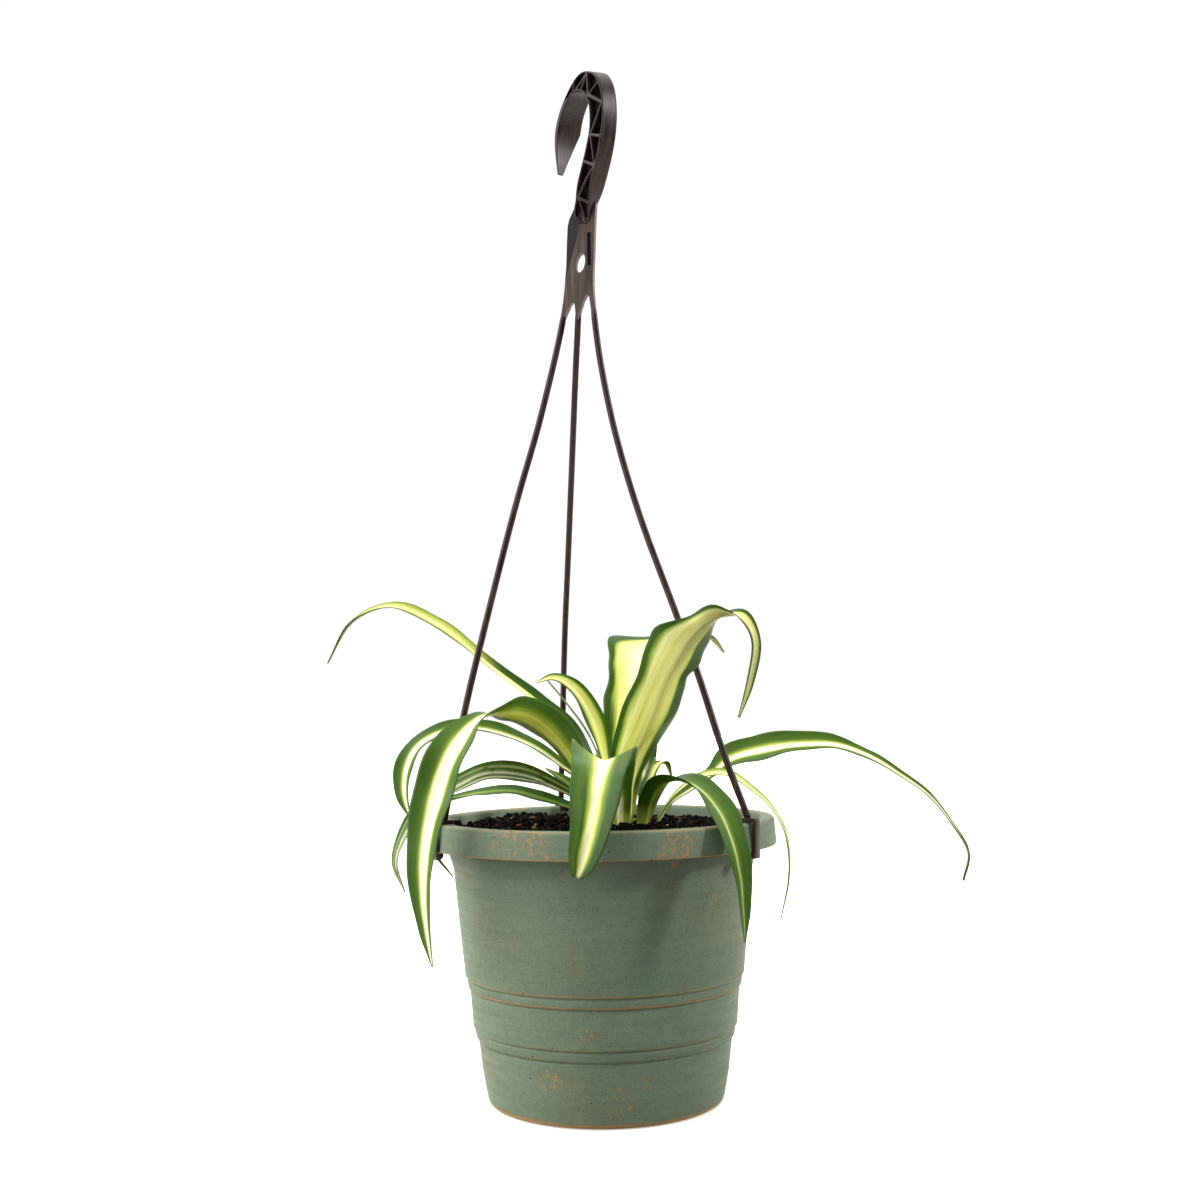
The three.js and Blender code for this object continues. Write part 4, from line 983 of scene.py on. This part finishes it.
def makePlate(material, withRecessShade):
    # The outline as a slab, turned to the front, less an oval slot, the pill-shaped recess and the
    # slanted cut. The raised lip round the recess is a slim ring, half sunk into the plate.
    turned = partial(turnAbout, degrees=-hanger["plateTurn"], shift=hanger["xMm"])
    thick, slot, pill = hanger["plateDepthMm"], hanger["slotMm"], hanger["pillMm"]
    piece = makePiece("hanger_plate", turned(slabPoints(hanger["plateMm"], thick)),
                      tubeFaces(2, len(hanger["plateMm"])), material, "hanger_plastic", "hanger")
    angle, lean = fullTurn(40), np.radians(slot["lean"])
    wide, tall = slot["halfWidth"] * np.cos(angle), slot["halfHeight"] * np.sin(angle)
    slotLine = np.stack([slot["across"] + wide * np.cos(lean) + tall * np.sin(lean),
                         slot["height"] - wide * np.sin(lean) + tall * np.cos(lean)], 1)
    through, recess = slabPoints(slotLine, 20), slabPoints(pillLine(pill, pill["radius"], 12), 2)
    recess[..., 1] += -thick / 2 - 1 + pill["depth"]
    cutters = [addShell("cutter", turned(shape), tubeFaces(*shape.shape[:2]))
               for shape in (through, recess)]
    facet = addShell("cutter", turned(np.array(hanger["facetMm"])), [])
    hull = bmesh.new()
    hull.from_mesh(facet.data)
    bmesh.ops.convex_hull(hull, input=hull.verts)
    hull.to_mesh(facet.data)
    hull.free()
    # the pill recess and the slanted cut take the recess material, whose near-black colour is painted
    # shade
    for cutter in (cutters[1], facet):
        cutter.data.materials.append(withRecessShade)
    cutAway(piece, [*cutters, facet])
    roundEdges(piece, 0.3, 25).harden_normals = True
    line = pillLine(pill, pill["radius"] + pill["lip"], 16)
    middle = np.stack([np.full(len(line), pill["across"]),
                       np.clip(line[:, 1], pill["low"], pill["high"])], 1)
    angle = fullTurn(8)
    reach = line[:, None] + unit(line - middle)[:, None] * (pill["lip"] * np.cos(angle))[:, None]
    depth = -thick / 2 + pill["lip"] * np.sin(angle) + 0 * reach[..., 0]
    ring = turned(np.stack([reach[..., 0], depth, reach[..., 1]], -1))
    makePiece("hanger_recess_lip", ring, gridFaces(*depth.shape, closed=True).tolist(), material,
              "hanger_plastic", "hanger")


def tubePoints(route, radius, sides):
    # a circle carried along the route, its first axis kept level
    middle = throughPoints(route, len(radius))[0]
    ahead = unit(np.gradient(middle, axis=0))
    level = unit(np.cross(ahead, [0.3, 1.0, 0.1]))[:, None]
    other = np.cross(ahead[:, None], level)
    angle = fullTurn(sides)[:, None]
    return middle[:, None] + radius[:, None, None] * (level * np.cos(angle) + other * np.sin(angle))


def makeStrands(material):
    # each strand thickens over the first 4 % of its length and ends over the rim
    points, faces = [], []
    count, sides = 150, 18
    slim = 0.6 + 0.4 * smooth(0, 0.04, np.linspace(0, 1, count))
    for bearing, route in hanger["strands"]:
        end = turnAbout(np.array([hanger["clipRadiusMm"], 0, pot["rimTopMm"] + 2]), bearing)
        faces += tubeFaces(count, sides, len(points) * count * sides)
        points.append(tubePoints([*route, end], hanger["strandRadiusMm"] * slim, sides))
    makePiece("hanger_strands", points, faces, material, "hanger_plastic", "hanger")


def makeClips(material):
    # radius and height: over the rim, down outside it, with a toe under the skirt
    inner, outer = 66.8, pot["rimRadiusMm"] + 2.4
    top, foot, gap = pot["rimTopMm"], pot["skirtBottomMm"], 0.3
    outline = [
        [inner, 119.8], [68.4, 119.8], [68.9, top + gap], [77.1, top + gap], [77.1, foot - gap],
        [75, foot - gap], [75, foot - 1.8], [76.6, foot - 3], [outer, foot - 3],
        [outer + 0.2, top + 1.2], [outer - 1, top + 2.2], [inner + 1, top + 2], [inner, top + 1]]
    clip = slabPoints(outline, hanger["clipWidthMm"])
    points = [turnAbout(clip, bearing) for bearing, _ in hanger["strands"]]
    faces = sum([tubeFaces(2, len(outline), i * 2 * len(outline)) for i in range(len(points))], [])
    clips = makePiece("hanger_clips", points, faces, material, "hanger_plastic", "hanger")
    roundEdges(clips, 0.35, 30)


def makeHanger():
    material = hangerMaterial("dark brown", hanger["brown"])
    makeHook(material)
    # the plate's lighter tones are a painted sheen; the recess material's dark tone is painted shade
    makePlate(hangerMaterial("plate, painted sheen", hanger["plateSheen"]),
              hangerMaterial("recess, painted shade", hanger["brown"], recessShade=1))
    makeStrands(material)
    makeClips(material)
    print("hanger done")


setCamera()
setStudio()
addFloor()
makePot()
makeSoil()
makeCrown()
for number, (node, leaf) in enumerate(leaves.items()):
    makeLeaf(number, node, leaf)
print("leaves done,", len(leaves))
makeHanger()
